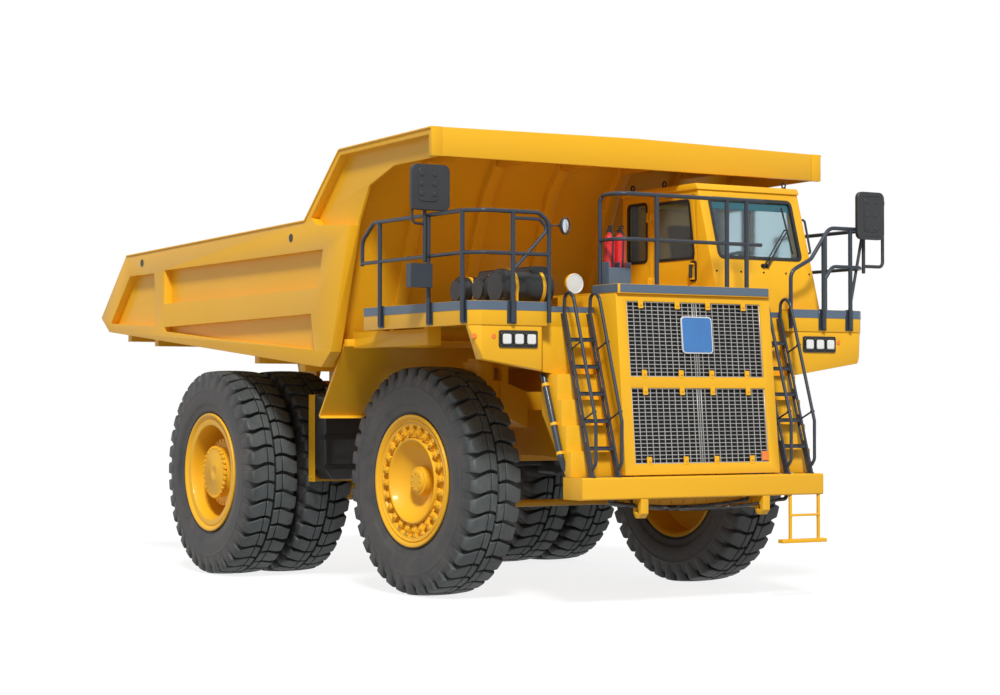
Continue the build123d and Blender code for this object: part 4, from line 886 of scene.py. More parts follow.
def nose_slab(mesh, y0, y1, z0, z1, back, front):
    """Slab that follows the nose, from front to back in metres behind its face."""
    verts = []
    for z in (z0, z1):
        for x in (nose_x(z) - back, nose_x(z) - front):
            verts += [mesh.verts.new((x, y, z)) for y in (y0, y1)]
    for face in ((0, 1, 3, 2), (4, 6, 7, 5), (0, 2, 6, 4), (1, 5, 7, 3), (0, 4, 5, 1), (2, 3, 7, 6)):
        mesh.faces.new([verts[k] for k in face])
    return verts


print("lean of the nose in degrees:", round(math.degrees(math.atan(NOSE_LEAN)), 2))

# %% Grilles, clips and radiator
GRILLES = ((2.343, 3.114), (1.458, 2.228))
HALF, RIM, COLUMNS, ROWS, WIRE = 0.857, 0.010, 22, 19, 0.0031
CLIP_SHARES, CLIP_HALF = (0.10, 0.37, 0.60, 0.87), 0.030
frames, wires, clips, cores = start(), [], start(), start()
for low, high in GRILLES:
    for y0, y1, z0, z1 in (
        (-HALF, HALF, low, low + RIM), (-HALF, HALF, high - RIM, high),
        (-HALF, RIM - HALF, low + RIM, high - RIM), (HALF - RIM, HALF, low + RIM, high - RIM),
        (-0.030, -0.023, low + RIM, high - RIM), (0.023, 0.030, low + RIM, high - RIM),
    ):
        nose_slab(frames, y0, y1, z0, z1, 0.026, 0.010)
    across = 2 * (HALF - RIM) / COLUMNS
    rise = (high - low - 2 * RIM) / ROWS
    wire = start()
    y = -HALF + RIM + across
    nose_slab(wire, y - WIRE, y + WIRE, low + 0.004, high - 0.004, 0.022, 0.015)
    wires.append(grid.run(wire, "uprights", wire_metal, Columns=COLUMNS - 1, Rows=1,
                          Across=(0.0, across, 0.0)))
    wire = start()
    z = low + RIM + rise
    nose_slab(wire, -HALF + 0.004, HALF - 0.004, z - WIRE, z + WIRE, 0.028, 0.020)
    wires.append(grid.run(wire, "levels", wire_metal, Columns=ROWS - 1, Rows=1,
                          Across=(-NOSE_LEAN * rise, 0.0, rise)))
    nose_slab(cores, -HALF + 0.001, HALF - 0.001, low + 0.001, high - 0.001, 0.062, 0.045)
    for share in CLIP_SHARES:
        y = -HALF + 2 * HALF * share
        for z0, z1 in ((high - 0.070, high + 0.012), (low - 0.012, low + 0.070)):
            nose_slab(clips, y - CLIP_HALF, y + CLIP_HALF, z0, z1, 0.010, -0.004)
            z = (z0 + z1) / 2
            rod(clips, (nose_x(z) + 0.002, y, z), (nose_x(z) + 0.015, y, z), 0.013, 6)
wires.append(plain(smoothed(bevelled(frames, 0.003)), "grille_frames"))
grille = joined("wire_grilles", wire_metal, "chassis", wires)
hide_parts("grilles")
finished(clips, "grille_clips", yellow, "chassis", bevel=0.003)
finished(cores, "radiator_core", core, "chassis")
print("grilles:", len(grille.data.polygons), "faces")

# %% [markdown]
# A plain blue plate with a pale border sits on the upper grille. Its corners are rounded by a bevel of
# the four edges that run from its back to its front, in five steps, so that they read as arcs.


# %% Blank plates on the nose
def round_along_x(mesh, verts, radius, segments):
    """Rounds the edges between these verts that run straight to the front."""
    made, same = set(verts), 1e-5
    edges = [e for e in mesh.edges if set(e.verts) <= made
             and abs(e.verts[0].co.y - e.verts[1].co.y) < same
             and abs(e.verts[0].co.z - e.verts[1].co.z) < same]
    bmesh.ops.bevel(mesh, geom=edges, offset=radius, segments=segments, profile=0.5, affect="EDGES")


for name, finish, sizes, radius in (
    ("nose_plate_border", white_paint, (-0.190, 0.204, 2.588, 2.972, 0.010, -0.004), 0.045),
    ("nose_plate", plate_blue, (-0.178, 0.192, 2.600, 2.960, 0.0, -0.0065), 0.034),
):
    plate = start()
    round_along_x(plate, nose_slab(plate, *sizes), radius, 5)
    print(finished(plate, name, finish, "chassis").name, "made")
plate = start()
nose_slab(plate, 0.766, 0.854, 1.474, 1.572, 0.012, 0.000)
finished(plate, "nose_reflector", amber, "chassis", bevel=0.004)

# %% [markdown]
# Lamps sit three in a row on a black plate in each housing below the deck. Each is a moulded square
# with rounded corners, a dark bezel and a clear lens over a bright bowl.


# %% Lamps
def soft_block(mesh, low, high, radius, segments=4):
    """Block whose four edges along X are rounded."""
    round_along_x(mesh, block(mesh, low, high), radius, segments)


LAMP_Z, LAMP_PITCH = 2.715, 0.145
bezels, lenses, bowls = start(), start(), start()
for side, first in ((-1, 1.865), (1, 1.725)):
    middle = side * (first + LAMP_PITCH)
    soft_block(bezels, (4.630, middle - 0.228, 2.628), (4.642, middle + 0.228, 2.802), 0.02)
    for k in range(3):
        y = side * (first + LAMP_PITCH * k)
        for mesh, x0, x1, half, radius in (
            (bezels, 4.640, 4.655, 0.062, 0.022), (bowls, 4.652, 4.6575, 0.050, 0.018),
            (lenses, 4.657, 4.661, 0.044, 0.016),
        ):
            soft_block(mesh, (x0, y - half, LAMP_Z - half), (x1, y + half, LAMP_Z + half), radius)
finished(bezels, "lamp_bezels", dark, "chassis")
finished(bowls, "lamp_bowls", white_paint, "chassis")
finished(lenses, "lamp_lenses", lens, "chassis")
print("lamps made: 3 a side")

# %% [markdown]
# Amber reflectors mark the corners of the lamp housings, and a round work lamp stands on the right
# deck at the head of the ladder. They are small, but the eye finds bright spots first.

# %% Reflectors and the work lamp
MARK_Z, MARK_RADIUS = 2.740, 0.026
marks = start()
for y in (-2.299, 2.145):
    rod(marks, (4.628, y, MARK_Z), (4.637, y, MARK_Z), MARK_RADIUS, 24)
corner = Vector((4.5855, -2.4955, MARK_Z))
rod(marks, corner + Vector((-0.008, 0.008, 0)), corner + Vector((0.006, -0.006, 0)), MARK_RADIUS, 24)
finished(marks, "corner_reflectors", amber, "chassis", bevel=0.002)
disc = start()
disc_profile = [(-0.004, 0.0), (-0.004, 0.098), (0.002, 0.104), (0.007, 0.102), (0.009, 0.094),
                (0.004, 0.088), (0.006, 0.05), (0.007, 0.0)]
turned_at(disc, Matrix.Translation((4.453, -1.210, 3.300)) @ Matrix.Rotation(-math.pi / 2, 4, "Z"),
          disc_profile, 40)
finished(disc, "work_lamp_lens", white_paint, "chassis")
print("reflectors and work lamp made")

# %% [markdown]
# Two ladders climb the nose. Their stringers are slotted plates, and their treads are folded channels
# with teeth that grip a boot. The tube recipe bends the handrails, and the rows recipe sets the teeth.


# %% Stringers and handrails of a ladder
LADDER_LOW, LADDER_HIGH, STRINGERS = 1.3303, 2.990, (1.085, 1.400)
FIRST_TREAD, TREAD_PITCH, TREADS = 1.623, 0.275, 5
HAND_X, DECK_Z = 5.114, 3.0


def ladder_x(z):
    return 5.045 - 0.31 * (z - 1.330)


def leaning(mesh, back, front, y0, y1, z0, z1):
    points = [(ladder_x(z0) + back, z0), (ladder_x(z0) + front, z0), (ladder_x(z1) + front, z1),
              (ladder_x(z1) + back, z1)]
    prism(mesh, points, y0, y1)


def add_stringers(mesh, side):
    """Slotted plates: two flanges each, with webs between the slots, on a foot plate."""
    between = [FIRST_TREAD + TREAD_PITCH * (k + 0.5) for k in range(TREADS - 1)]
    webs = [LADDER_LOW] + [z + half for z in between for half in (-0.08, 0.08)] + [LADDER_HIGH]
    for y in (side * STRINGERS[0], side * STRINGERS[1]):
        leaning(mesh, -0.040, -0.019, y - 0.012, y + 0.012, LADDER_LOW, LADDER_HIGH)
        leaning(mesh, 0.019, 0.040, y - 0.012, y + 0.012, LADDER_LOW, LADDER_HIGH)
        for low, high in zip(webs[::2], webs[1::2]):
            leaning(mesh, -0.0195, 0.0195, y - 0.012, y + 0.012, low, high)
        block(mesh, (5.000, y - 0.030, LADDER_LOW), (5.075, y + 0.030, 1.341))


def handrail(y):
    top = ladder_x(DECK_Z)
    return [
        (ladder_x(LADDER_LOW) + 0.020, y, LADDER_LOW + 0.090), (HAND_X, y, LADDER_LOW + 0.150),
        (HAND_X, y, LADDER_LOW + 0.560), (top + 0.190, y, DECK_Z + 0.140), (top + 0.105, y, DECK_Z + 0.215),
        (top + 0.025, y, DECK_Z + 0.160), (top + 0.015, y, DECK_Z - 0.040)]


print("ladders lean by", round(ladder_x(LADDER_LOW) - ladder_x(LADDER_HIGH), 3), "m")


# %% Treads, struts and whole ladders
def add_tread(mesh, side, z):
    """Folded channel. Its teeth come back as a mesh of their own."""
    x = ladder_x(z)
    low_y, high_y = sorted((side * 1.080, side * 1.405))
    block(mesh, (x - 0.035, low_y, z + 0.004), (x + 0.030, high_y, z + 0.010))
    block(mesh, (x - 0.035, low_y, z - 0.020), (x - 0.029, high_y, z + 0.010))
    block(mesh, (x + 0.024, low_y, z - 0.024), (x + 0.030, high_y, z + 0.010))
    tooth = start()
    block(tooth, (x - 0.032, low_y + 0.016, z + 0.008), (x - 0.020, low_y + 0.024, z + 0.017))
    return grid.run(tooth, "teeth", rail_paint, Columns=18, Rows=3,
                    Across=(0.0, 0.0172, 0.0), Up=(0.024, 0.0, 0.0))


def add_strut(mesh, side, y, z):
    """Strut from a stringer up to its handrail, with a collar on the rail."""
    hand = HAND_X - 0.3176 * (z - 1.890)
    rod(mesh, (hand, side * y, z), (ladder_x(z - 0.08) + 0.030, side * y, z - 0.080), 0.010, 10)
    rod(mesh, (hand, side * (y - 0.022), z), (hand, side * (y + 0.022), z), 0.015, 10)


for name, side in (("right", -1), ("left", 1)):
    mesh = start()
    add_stringers(mesh, side)
    teeth = [add_tread(mesh, side, FIRST_TREAD + TREAD_PITCH * k) for k in range(TREADS)]
    for y in STRINGERS:
        for z in (1.990, 2.700):
            add_strut(mesh, side, y, z)
    rails = tubes("handrails", rail_paint, [handrail(side * y) for y in STRINGERS], 0.018, 0.07, 14)
    shapes = [plain(smoothed(bevelled(mesh, 0.002)), "ladder"), rails] + teeth
    piece = joined("ladder_with_handrails_" + name, rail_paint, "chassis", shapes)
    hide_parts("ladder_" + name)
    print(piece.name, len(piece.data.polygons), "faces")

# %% [markdown]
# The cab is a folded steel box with large panes in black rubber. A pane without its seal looks like a
# hole, so each gets a rounded frame that stands proud of the plate. An outline with rounded corners
# is worked out once, and the same function lays it on the front, the sides, the rear and the door.


# %% Rounded outlines
def rounded(points, radius, steps=5):
    """Outline with its corners rounded, as a list of 2-D points."""
    result = []
    count = len(points)
    for k in range(count):
        corner = Vector(points[k])
        before = (Vector(points[k - 1]) - corner).normalized()
        after = (Vector(points[(k + 1) % count]) - corner).normalized()
        reach = radius / math.tan(before.angle(after) / 2)
        a, b = corner + before * reach, corner + after * reach
        for n in range(steps + 1):
            t = n / steps
            result.append((1 - t) ** 2 * a + 2 * t * (1 - t) * corner + t * t * b)
    return result


def grown(points, amount):
    """Outline moved outwards on every side."""
    count = len(points)
    ends = [(points[k], points[(k + 1) % count]) for k in range(count)]
    sign = 1 if sum(a[0] * b[1] - b[0] * a[1] for a, b in ends) > 0 else -1
    result = []
    for k in range(count):
        before = (Vector(points[k]) - Vector(points[k - 1])).normalized()
        after = (Vector(points[(k + 1) % count]) - Vector(points[k])).normalized()
        out = Vector((before.y, -before.x)) * sign + Vector((after.y, -after.x)) * sign
        result.append(Vector(points[k]) + out * (amount / (1 + before.dot(after))))
    return result


def frame_ring(mesh, points, place, radius, grow, shrink, low, high):
    """Flat ring along an outline. place gives the point for an outline's point and a depth."""
    outer = rounded(grown(points, grow), radius + grow)
    inner = rounded(grown(points, -shrink), max(0.012, radius - shrink))
    rings = []
    for outline, depth in ((inner, low), (outer, low), (outer, high), (inner, high)):
        rings.append([mesh.verts.new(place(p[0], p[1], depth)) for p in outline])
    count = len(outer)
    for one, two in zip(rings, rings[1:] + rings[:1]):
        for k in range(count):
            n = (k + 1) % count
            mesh.faces.new((one[k], one[n], two[n], two[k]))


def cab_x(z):
    """The cab's front leans back, from 4.460 at its floor."""
    return 4.460 - 0.440 * (z - 3.0003) / 1.4697


SILL, HEAD = 3.6602, 4.3098
CAB_RIGHT, CAB_LEFT, CAB_REAR = 0.670, 2.050, 2.620
DOOR_FRONT = cab_x(SILL) - 0.265
print("windscreen leans by", round(cab_x(SILL) - cab_x(HEAD), 3), "m")

# %% Window seals
WINDSCREEN = [(0.800, SILL), (1.920, SILL), (1.920, HEAD), (0.800, HEAD)]
SIDE_PANE = [(2.730, SILL), (3.090, SILL), (3.090, HEAD), (2.730, HEAD)]
LEFT_PANE = [(3.270, SILL), (DOOR_FRONT, SILL), (DOOR_FRONT - 0.110, HEAD), (3.270, HEAD)]
DOOR_PANE = [(3.270, SILL), (DOOR_FRONT - 0.020, SILL), (DOOR_FRONT - 0.120, HEAD - 0.020),
             (3.270, HEAD - 0.020)]
REAR_PANE = [(0.870, SILL), (1.850, SILL), (1.850, HEAD), (0.870, HEAD)]


def on_right(x, z, out):
    return (x, CAB_RIGHT - out, z)


def on_left(x, z, out):
    return (x, CAB_LEFT + out, z)


def on_rear(y, z, out):
    return (CAB_REAR - out, y, z)


def side_seal(mesh, pane, place):
    frame_ring(mesh, pane, place, 0.055, 0.018, 0.014, -0.026, 0.006)


seals, door_seal = start(), start()
frame_ring(seals, WINDSCREEN, lambda y, z, out: (cab_x(z) + out, y, z), 0.055, 0.020, 0.016, -0.030, 0.007)
for pane, place in ((SIDE_PANE, on_right), (SIDE_PANE, on_left), (LEFT_PANE, on_left), (REAR_PANE, on_rear)):
    side_seal(seals, pane, place)
side_seal(door_seal, DOOR_PANE, on_right)
finished(seals, "window_seals", seal, "chassis")
finished(door_seal, "door_seal", seal, "door")
print("seals made, the door's own on the door")

# %% [markdown]
# A tinted band at the top of the windscreen keeps the sun off the driver. It is a thin plate just in
# front of the glass. Slate lining covers the inside of the cab's walls, so that what shows through
# the glass is a dark room and not yellow plate.

# %% Sun band and lining
band = start()
corners = [(0.825, 4.195), (1.895, 4.195), (1.895, 4.285), (0.825, 4.285)]
near = [band.verts.new((cab_x(z) - 0.0195, y, z)) for y, z in corners]
far = [band.verts.new((cab_x(z) - 0.0215, y, z)) for y, z in corners]
band.faces.new(near)
band.faces.new(far[::-1])
for k in range(4):
    n = (k + 1) % 4
    band.faces.new((near[k], far[k], far[n], near[n]))
finished(band, "sun_band", shade, "chassis")
lining = start()
for low, high in (
    ((2.666, 0.716, 3.061), (4.330, 2.004, 3.075)), ((2.667, 0.716, 4.372), (3.960, 2.004, 4.396)),
    ((3.870, 0.830, 3.075), (4.200, 1.900, 3.640)), ((2.667, 0.716, 3.075), (2.675, 0.860, 4.372)),
    ((2.667, 1.860, 3.075), (2.675, 2.004, 4.372)), ((2.667, 0.860, 3.075), (2.675, 1.860, 3.645)),
    ((2.676, 1.996, 3.076), (4.195, 2.004, 3.640)), ((3.105, 1.996, 3.640), (3.255, 2.004, 4.371)),
    ((2.676, 0.716, 3.076), (3.180, 0.724, 3.640)), ((3.105, 0.716, 3.640), (3.180, 0.724, 4.371)),
):
    block(lining, low, high)
finished(lining, "cab_lining", slate, "chassis", bevel=0.003)
lining = start()
block(lining, (3.225, 0.7152, 3.275), (4.020, 0.7220, 3.640))
finished(lining, "door_lining", slate, "door", bevel=0.002)
print("sun band and lining made")

# %% [markdown]
# The wiper is two parallel arms on stub axles that hold one long blade, so that the blade stays
# upright as the arms swing. A wiper, a door handle and lifting eyes are small, and it is by them that
# the eye judges how large the cab is.


# %% Wiper
def on_screen(y, z, out):
    """Point on the cab's front, moved out at right angles to it."""
    return Vector((cab_x(z) + out * 0.958, y, z + out * 0.287))


wiper = start()
PIVOT_Y, PIVOT_Z, ARM_Y, ARM_Z = 1.415, 3.572, 1.785, 3.975
for shift in (0.0, 0.050):
    y = PIVOT_Y - shift
    rod(wiper, on_screen(y, PIVOT_Z, -0.001), on_screen(y, PIVOT_Z, 0.012), 0.026, 20)
    rod(wiper, on_screen(y, PIVOT_Z, 0.010), on_screen(y, PIVOT_Z, 0.044), 0.013, 16)
    rod(wiper, on_screen(y, PIVOT_Z, 0.036), on_screen(ARM_Y - shift * 0.9, ARM_Z, 0.034), 0.0075, 8)
rod(wiper, on_screen(ARM_Y - 0.050, ARM_Z, 0.034), on_screen(ARM_Y + 0.008, ARM_Z, 0.034), 0.010, 8)
rod(wiper, on_screen(PIVOT_Y, PIVOT_Z, 0.036), on_screen(1.508, 3.673, 0.036), 0.013, 8)
for offset, radius in ((0.027, 0.0085), (0.015, 0.0040)):
    rod(wiper, on_screen(1.802, 3.714, offset), on_screen(1.767, 4.237, offset), radius, 8)
finished(wiper, "windscreen_wiper", dark, "chassis")
print("wiper arm in metres:", round(math.hypot(ARM_Y - PIVOT_Y, ARM_Z - PIVOT_Z), 3))

# %% Door handle
GRIP_X, DOOR_SKIN_Y = DOOR_FRONT - 0.045, 0.6695
handle = start()
grip_outline = [(GRIP_X - 0.030, 3.405), (GRIP_X + 0.062, 3.405), (GRIP_X + 0.062, 3.615),
                (GRIP_X - 0.030, 3.615)]
frame_ring(handle, grip_outline, lambda x, z, out: (x, DOOR_SKIN_Y - out, z), 0.026, 0.010, 0.012, 0.0, 0.012)
rod(handle, (GRIP_X + 0.0125, 0.6275, 3.436), (GRIP_X + 0.0125, 0.6275, 3.584), 0.0195, 16)
rod(handle, (GRIP_X + 0.012, 0.668, 3.655), (GRIP_X + 0.012, 0.659, 3.655), 0.018, 20)
finished(handle, "door_handle_grip", dark, "door")
print("door handle made, with its lock above it")

# %% Lifting eyes, grab handle and bolts of the cab
EYE_RING, EYE_WIRE, CAB_TOP = 0.030, 0.009, 4.4698
angles = [k * math.pi / 4 for k in range(8)]
eye_profile = [(EYE_WIRE * math.cos(a), EYE_RING + EYE_WIRE * math.sin(a)) for a in angles]
eyes = start()
for x, y in ((3.330, 0.740), (3.920, 1.960), (2.720, 0.740), (2.720, 1.960)):
    rod(eyes, (x, y, CAB_TOP), (x, y, 4.484), 0.030, 24)
    turned_at(eyes, Matrix.Translation((x, y, 4.515)), eye_profile, 24, closed=True)
finished(eyes, "lifting_eyes", dark, "chassis")
grab = [(4.205, 2.049, 3.74), (4.205, 2.110, 3.74), (4.100, 2.110, 4.12), (4.100, 2.049, 4.12)]
joined("cab_grab_handle", dark, "chassis", [tubes("grab", dark, [grab], 0.013, 0.03)])
bolts, bolt_z = start(), 3.50
for y in (0.72, 1.05, 1.36, 1.67, 2.00):
    rod(bolts, on_screen(y, bolt_z, -0.002), on_screen(y, bolt_z, 0.009), 0.011, 6)
finished(bolts, "cab_bolts", dark, "chassis")
print("cab details made")

# %% [markdown]
# The big mirrors are moulded shells on clamped arms. From the front only their dark backs show, with
# the clamp plate and its six bolts, and the silvered side faces the driver.


# %% Right mirror
def hung(side, back, clamp, arms, face):
    """Shell, clamp and arms as one piece, and the silvered face as another."""
    shapes = [plain(smoothed(bevelled(mesh, 0.006)), "mirror") for mesh in (back, clamp)]
    piece = joined("mirror_shell_" + side, moulded, "chassis", shapes + [arms])
    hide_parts("mirror_" + side)
    finished(face, "mirror_glass_" + side, silver, "chassis")
    print(piece.name, len(piece.data.polygons), "faces")


POLE_X, POLE_Y = 3.811, -2.6186
back, face, clamp = start(), start(), start()
soft_block(back, (3.8300, -2.806, 4.034), (3.880, -2.357, 4.504), 0.07, segments=5)
soft_block(face, (3.8282, -2.786, 4.170), (3.8302, -2.377, 4.488), 0.045)
soft_block(face, (3.8282, -2.786, 4.050), (3.8302, -2.377, 4.150), 0.045)
soft_block(clamp, (3.878, -2.730, 4.120), (3.888, -2.500, 4.470), 0.05)
for y in (-2.690, -2.540):
    for z in (4.200, 4.300, 4.400):
        rod(clamp, (3.886, y, z), (3.897, y, z), 0.026, 20)
for z in (4.200, 4.380):
    block(clamp, (3.795, -2.680, z), (3.835, -2.560, z + 0.050))
rod(clamp, (POLE_X, POLE_Y, 3.510), (POLE_X, POLE_Y, 4.469), 0.020, 18)
arms = tubes("arms", rail_paint, [
    [(POLE_X, POLE_Y, 3.900), (POLE_X, -2.765, 3.900), (POLE_X, -2.765, 4.200)],
    [(POLE_X, POLE_Y, 4.055), (POLE_X, -2.480, 4.055), (POLE_X, -2.480, 4.200)]], 0.014, 0.06)
hung("right", back, clamp, arms, face)

# %% Left mirror, measured from the box of the CAD mirror
lo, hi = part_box("mirror_left")
STEM_X, STEM_Y = lo.x + 0.020, hi.y - 0.300
HEAD_Y = STEM_Y - 0.005
back, face, clamp = start(), start(), start()
soft_block(back, (STEM_X + 0.087, HEAD_Y - 0.193, 3.877), (STEM_X + 0.138, HEAD_Y + 0.193, 4.403), 0.07, 5)
for z0, z1 in ((4.010, 4.385), (3.893, 3.990)):
    soft_block(face, (STEM_X + 0.0852, HEAD_Y - 0.173, z0), (STEM_X + 0.0872, HEAD_Y + 0.173, z1), 0.045)
rod(clamp, (STEM_X, STEM_Y, 3.510), (STEM_X, STEM_Y, 4.370), 0.020, 18)
for z in (4.050, 4.320):
    rod(clamp, (STEM_X, STEM_Y, z), (STEM_X + 0.100, STEM_Y, z), 0.014, 14)
    block(clamp, (STEM_X - 0.026, STEM_Y - 0.026, z - 0.030), (STEM_X + 0.026, STEM_Y + 0.026, z + 0.030))
soft_block(clamp, (STEM_X + 0.136, HEAD_Y - 0.100, 3.960), (STEM_X + 0.144, HEAD_Y + 0.100, 4.330), 0.03)
for y in (-0.060, 0.060):
    for z in (4.000, 4.145, 4.290):
        rod(clamp, (STEM_X + 0.142, HEAD_Y + y, z), (STEM_X + 0.151, HEAD_Y + y, z), 0.018, 18)
for z in (3.920, 4.360):
    block(clamp, (STEM_X + 0.134, HEAD_Y - 0.120, z - 0.006), (STEM_X + 0.143, HEAD_Y + 0.120, z + 0.006))
rod(clamp, (4.635, 2.300, 3.090), (STEM_X, STEM_Y - 0.020, 3.930), 0.017, 16)
loop_y = STEM_Y + 0.278
loop = [(STEM_X, STEM_Y, 3.590), (STEM_X, loop_y, 3.590), (STEM_X, loop_y, 4.250),
        (STEM_X + 0.110, STEM_Y + 0.190, 4.300)]
arms = tubes("arms", rail_paint, [loop], 0.019, 0.055, 14)
hung("left", back, clamp, arms, face)

# %% Round mirror on the right deck
place = Matrix.Translation((4.668, -1.467, 3.867)) @ Matrix.Rotation(math.radians(-62), 4, "Z")
round_back, round_face = start(), start()
turned_at(round_back, place, [
    (-0.050, 0.0), (-0.050, 0.030), (-0.036, 0.066), (-0.012, 0.088), (0.006, 0.0915), (0.012, 0.088),
    (0.012, 0.080), (0.006, 0.078), (0.004, 0.0)], 48)
turned_at(round_face, place, [(0.002, 0.0785), (0.012, 0.066), (0.019, 0.042), (0.022, 0.0)], 48)
finished(round_back, "round_mirror", moulded, "chassis")
finished(round_face, "round_mirror_glass", silver, "chassis")
print("round mirror made, 183 mm across")

# %% [markdown]
# Three air cleaners lie on the right deck. Yellow straps hold them down, and a flat duct joins them.
# The photograph shows them through the railing, so their beads, cap clips, straps and feet are
# modelled too.

# %% Air cleaners
CLEANER_Z, CLEANER_Y = 3.250, -1.600
CLEANERS = ((3.420, 0.150, -2.0, -1.5), (3.860, 0.150, -2.0, -1.5), (4.290, 0.190, -2.05, -1.45))
CLEANER_FOOT = (
    (-0.088, 3.0005), (0.088, 3.0005), (0.088, 3.020), (0.060, 3.110), (-0.060, 3.110), (-0.088, 3.020))


def can(radius, front, back):
    """Profile of a canister in (y, radius): domed cap with a stub, two beads and a plain end."""
    return [
        (front - 0.0245, 0.0), (front - 0.0245, radius - 0.045), (front - 0.004, radius - 0.040),
        (front + 0.004, radius - 0.020), (front + 0.022, radius - 0.003), (front + 0.060, radius - 0.003),
        (front + 0.066, radius), (front + 0.080, radius), (front + 0.086, radius - 0.005),
        (front + 0.200, radius - 0.005), (front + 0.205, radius - 0.001), (front + 0.220, radius - 0.001),
        (front + 0.225, radius - 0.005), (back - 0.060, radius - 0.005), (back - 0.020, radius - 0.012),
        (back, radius - 0.040), (back, 0.0)]


def strap(y, radius):
    """Profile of a strap round a canister, 38 mm wide."""
    inner, outer = radius - 0.008, radius - 0.0005
    return [(y - 0.019, inner), (y - 0.019, outer), (y + 0.019, outer), (y + 0.019, inner)]


cans, straps, feet, duct = start(), start(), start(), start()
soft_block(duct, (3.352, -1.698, 3.396), (4.398, -1.502, 3.469), 0.024)
for x, radius, front, back in CLEANERS:
    place = Matrix.Translation((x, 0.0, CLEANER_Z))
    turned_at(cans, place, can(radius, front, back), 48)
    for y in (front + 0.130, back - 0.140):
        turned_at(straps, place, strap(y, radius), 48)
    for side in (-1, 1):
        at_x = x + side * (radius - 0.010)
        block(straps, (at_x - 0.007, front + 0.120, 3.090), (at_x + 0.007, front + 0.140, CLEANER_Z))
    rod(cans, (x, front - 0.024, CLEANER_Z), (x, front - 0.0247, CLEANER_Z), 0.03, 24)
    for k in range(4):
        arm, turn = radius - 0.020, math.pi / 4 + k * math.pi / 2
        at_x, at_z = x + arm * math.cos(turn), CLEANER_Z + arm * math.sin(turn)
        block(cans, (at_x - 0.012, front - 0.008, at_z - 0.012), (at_x + 0.012, front + 0.022, at_z + 0.012))
    prism(feet, [(x + across, z) for across, z in CLEANER_FOOT], -1.899, -1.601)
    top = CLEANER_Z + radius
    rod(duct, (x, CLEANER_Y, top - 0.03), (x, CLEANER_Y, 3.430), 0.078, 28)
    rod(duct, (x, CLEANER_Y, top - 0.008), (x, CLEANER_Y, top), 0.088, 28)
shapes = [plain(smoothed(cans), "cans")]
shapes += [plain(smoothed(bevelled(mesh, 0.004)), "feet_or_duct") for mesh in (feet, duct)]
piece = joined("air_cleaners_with_ducts", dark, "chassis", shapes)
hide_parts("air_cleaners")
finished(straps, "cleaner_straps", yellow, "chassis")
print(piece.name, len(piece.data.polygons), "faces")

# %% [markdown]
# Two fire extinguishers stand in a holder on the walkway, behind the railing. Each bottle is a turned
# profile, stood upright, with a valve, two levers, a gauge and a short hose that ends in a nozzle.

# %% Extinguishers
BOTTLE_X, HOSE_X, BOTTLES_Y = 4.520, 4.597, (-0.825, -0.695)
bottle_profile = [
    (3.262, 0.0), (3.262, 0.050), (3.268, 0.0585), (3.300, 0.0600), (3.745, 0.0600), (3.775, 0.056),
    (3.800, 0.044), (3.815, 0.028), (3.820, 0.021), (3.838, 0.021), (3.838, 0.0)]
stood_up = Matrix(((1, 0, 0, 0), (0, 0, -1, 0), (0, 1, 0, 0), (0, 0, 0, 1)))
bottles, valves, holder = start(), start(), start()
for y in BOTTLES_Y:
    turned_at(bottles, Matrix.Translation((BOTTLE_X, y, 0.0)) @ stood_up, bottle_profile, 40)
    rod(valves, (BOTTLE_X, y, 3.822), (BOTTLE_X, y, 3.880), 0.017, 20)
    block(valves, (4.507, y - 0.009, 3.879), (4.588, y + 0.009, 3.889))
    block(valves, (4.512, y - 0.009, 3.898), (4.586, y + 0.009, 3.909))
    block(valves, (4.506, y - 0.009, 3.880), (BOTTLE_X, y + 0.009, 3.908))
    rod(valves, (4.500, y, 3.858), (4.484, y, 3.858), 0.015, 18)
for y in BOTTLES_Y:
    rod(valves, (HOSE_X, y - 0.012, 3.480), (HOSE_X, y - 0.012, 3.560), 0.011, 16, 0.009)
paths = [[(4.530, y, 3.862), (HOSE_X, y, 3.862), (HOSE_X, y - 0.012, 3.550)] for y in BOTTLES_Y]
hoses = tubes("hoses", dark, paths, 0.0075, 0.062, 10)
heads = plain(smoothed(bevelled(valves, 0.002)), "valves")
joined("extinguisher_valves", dark, "chassis", [heads, hoses])
finished(bottles, "extinguisher_bottles", red, "chassis")
block(holder, (4.421, -0.899, 3.2106), (4.619, -0.621, 3.222))
block(holder, (4.421, -0.899, 3.222), (4.431, -0.621, 3.529))
for y0, y1 in ((-0.899, -0.890), (-0.630, -0.621), (-0.764, -0.756)):
    block(holder, (4.431, y0, 3.222), (4.619, y1, 3.529))
block(holder, (4.609, -0.890, 3.222), (4.619, -0.630, 3.470))
piece = finished(holder, "extinguisher_holder", slate, "chassis", bevel=0.003)
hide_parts("extinguishers")
print("extinguishers made:", len(BOTTLES_Y))

# %% [markdown]
# CAD plates have perfectly sharp edges, and those look like paper. Rolled and welded plate always has
# a small round edge that catches light, so copies of the plain plate bodies get a chamfer of a few
# millimetres, cut inwards, and take the place of the sharp ones. Their size does not change.


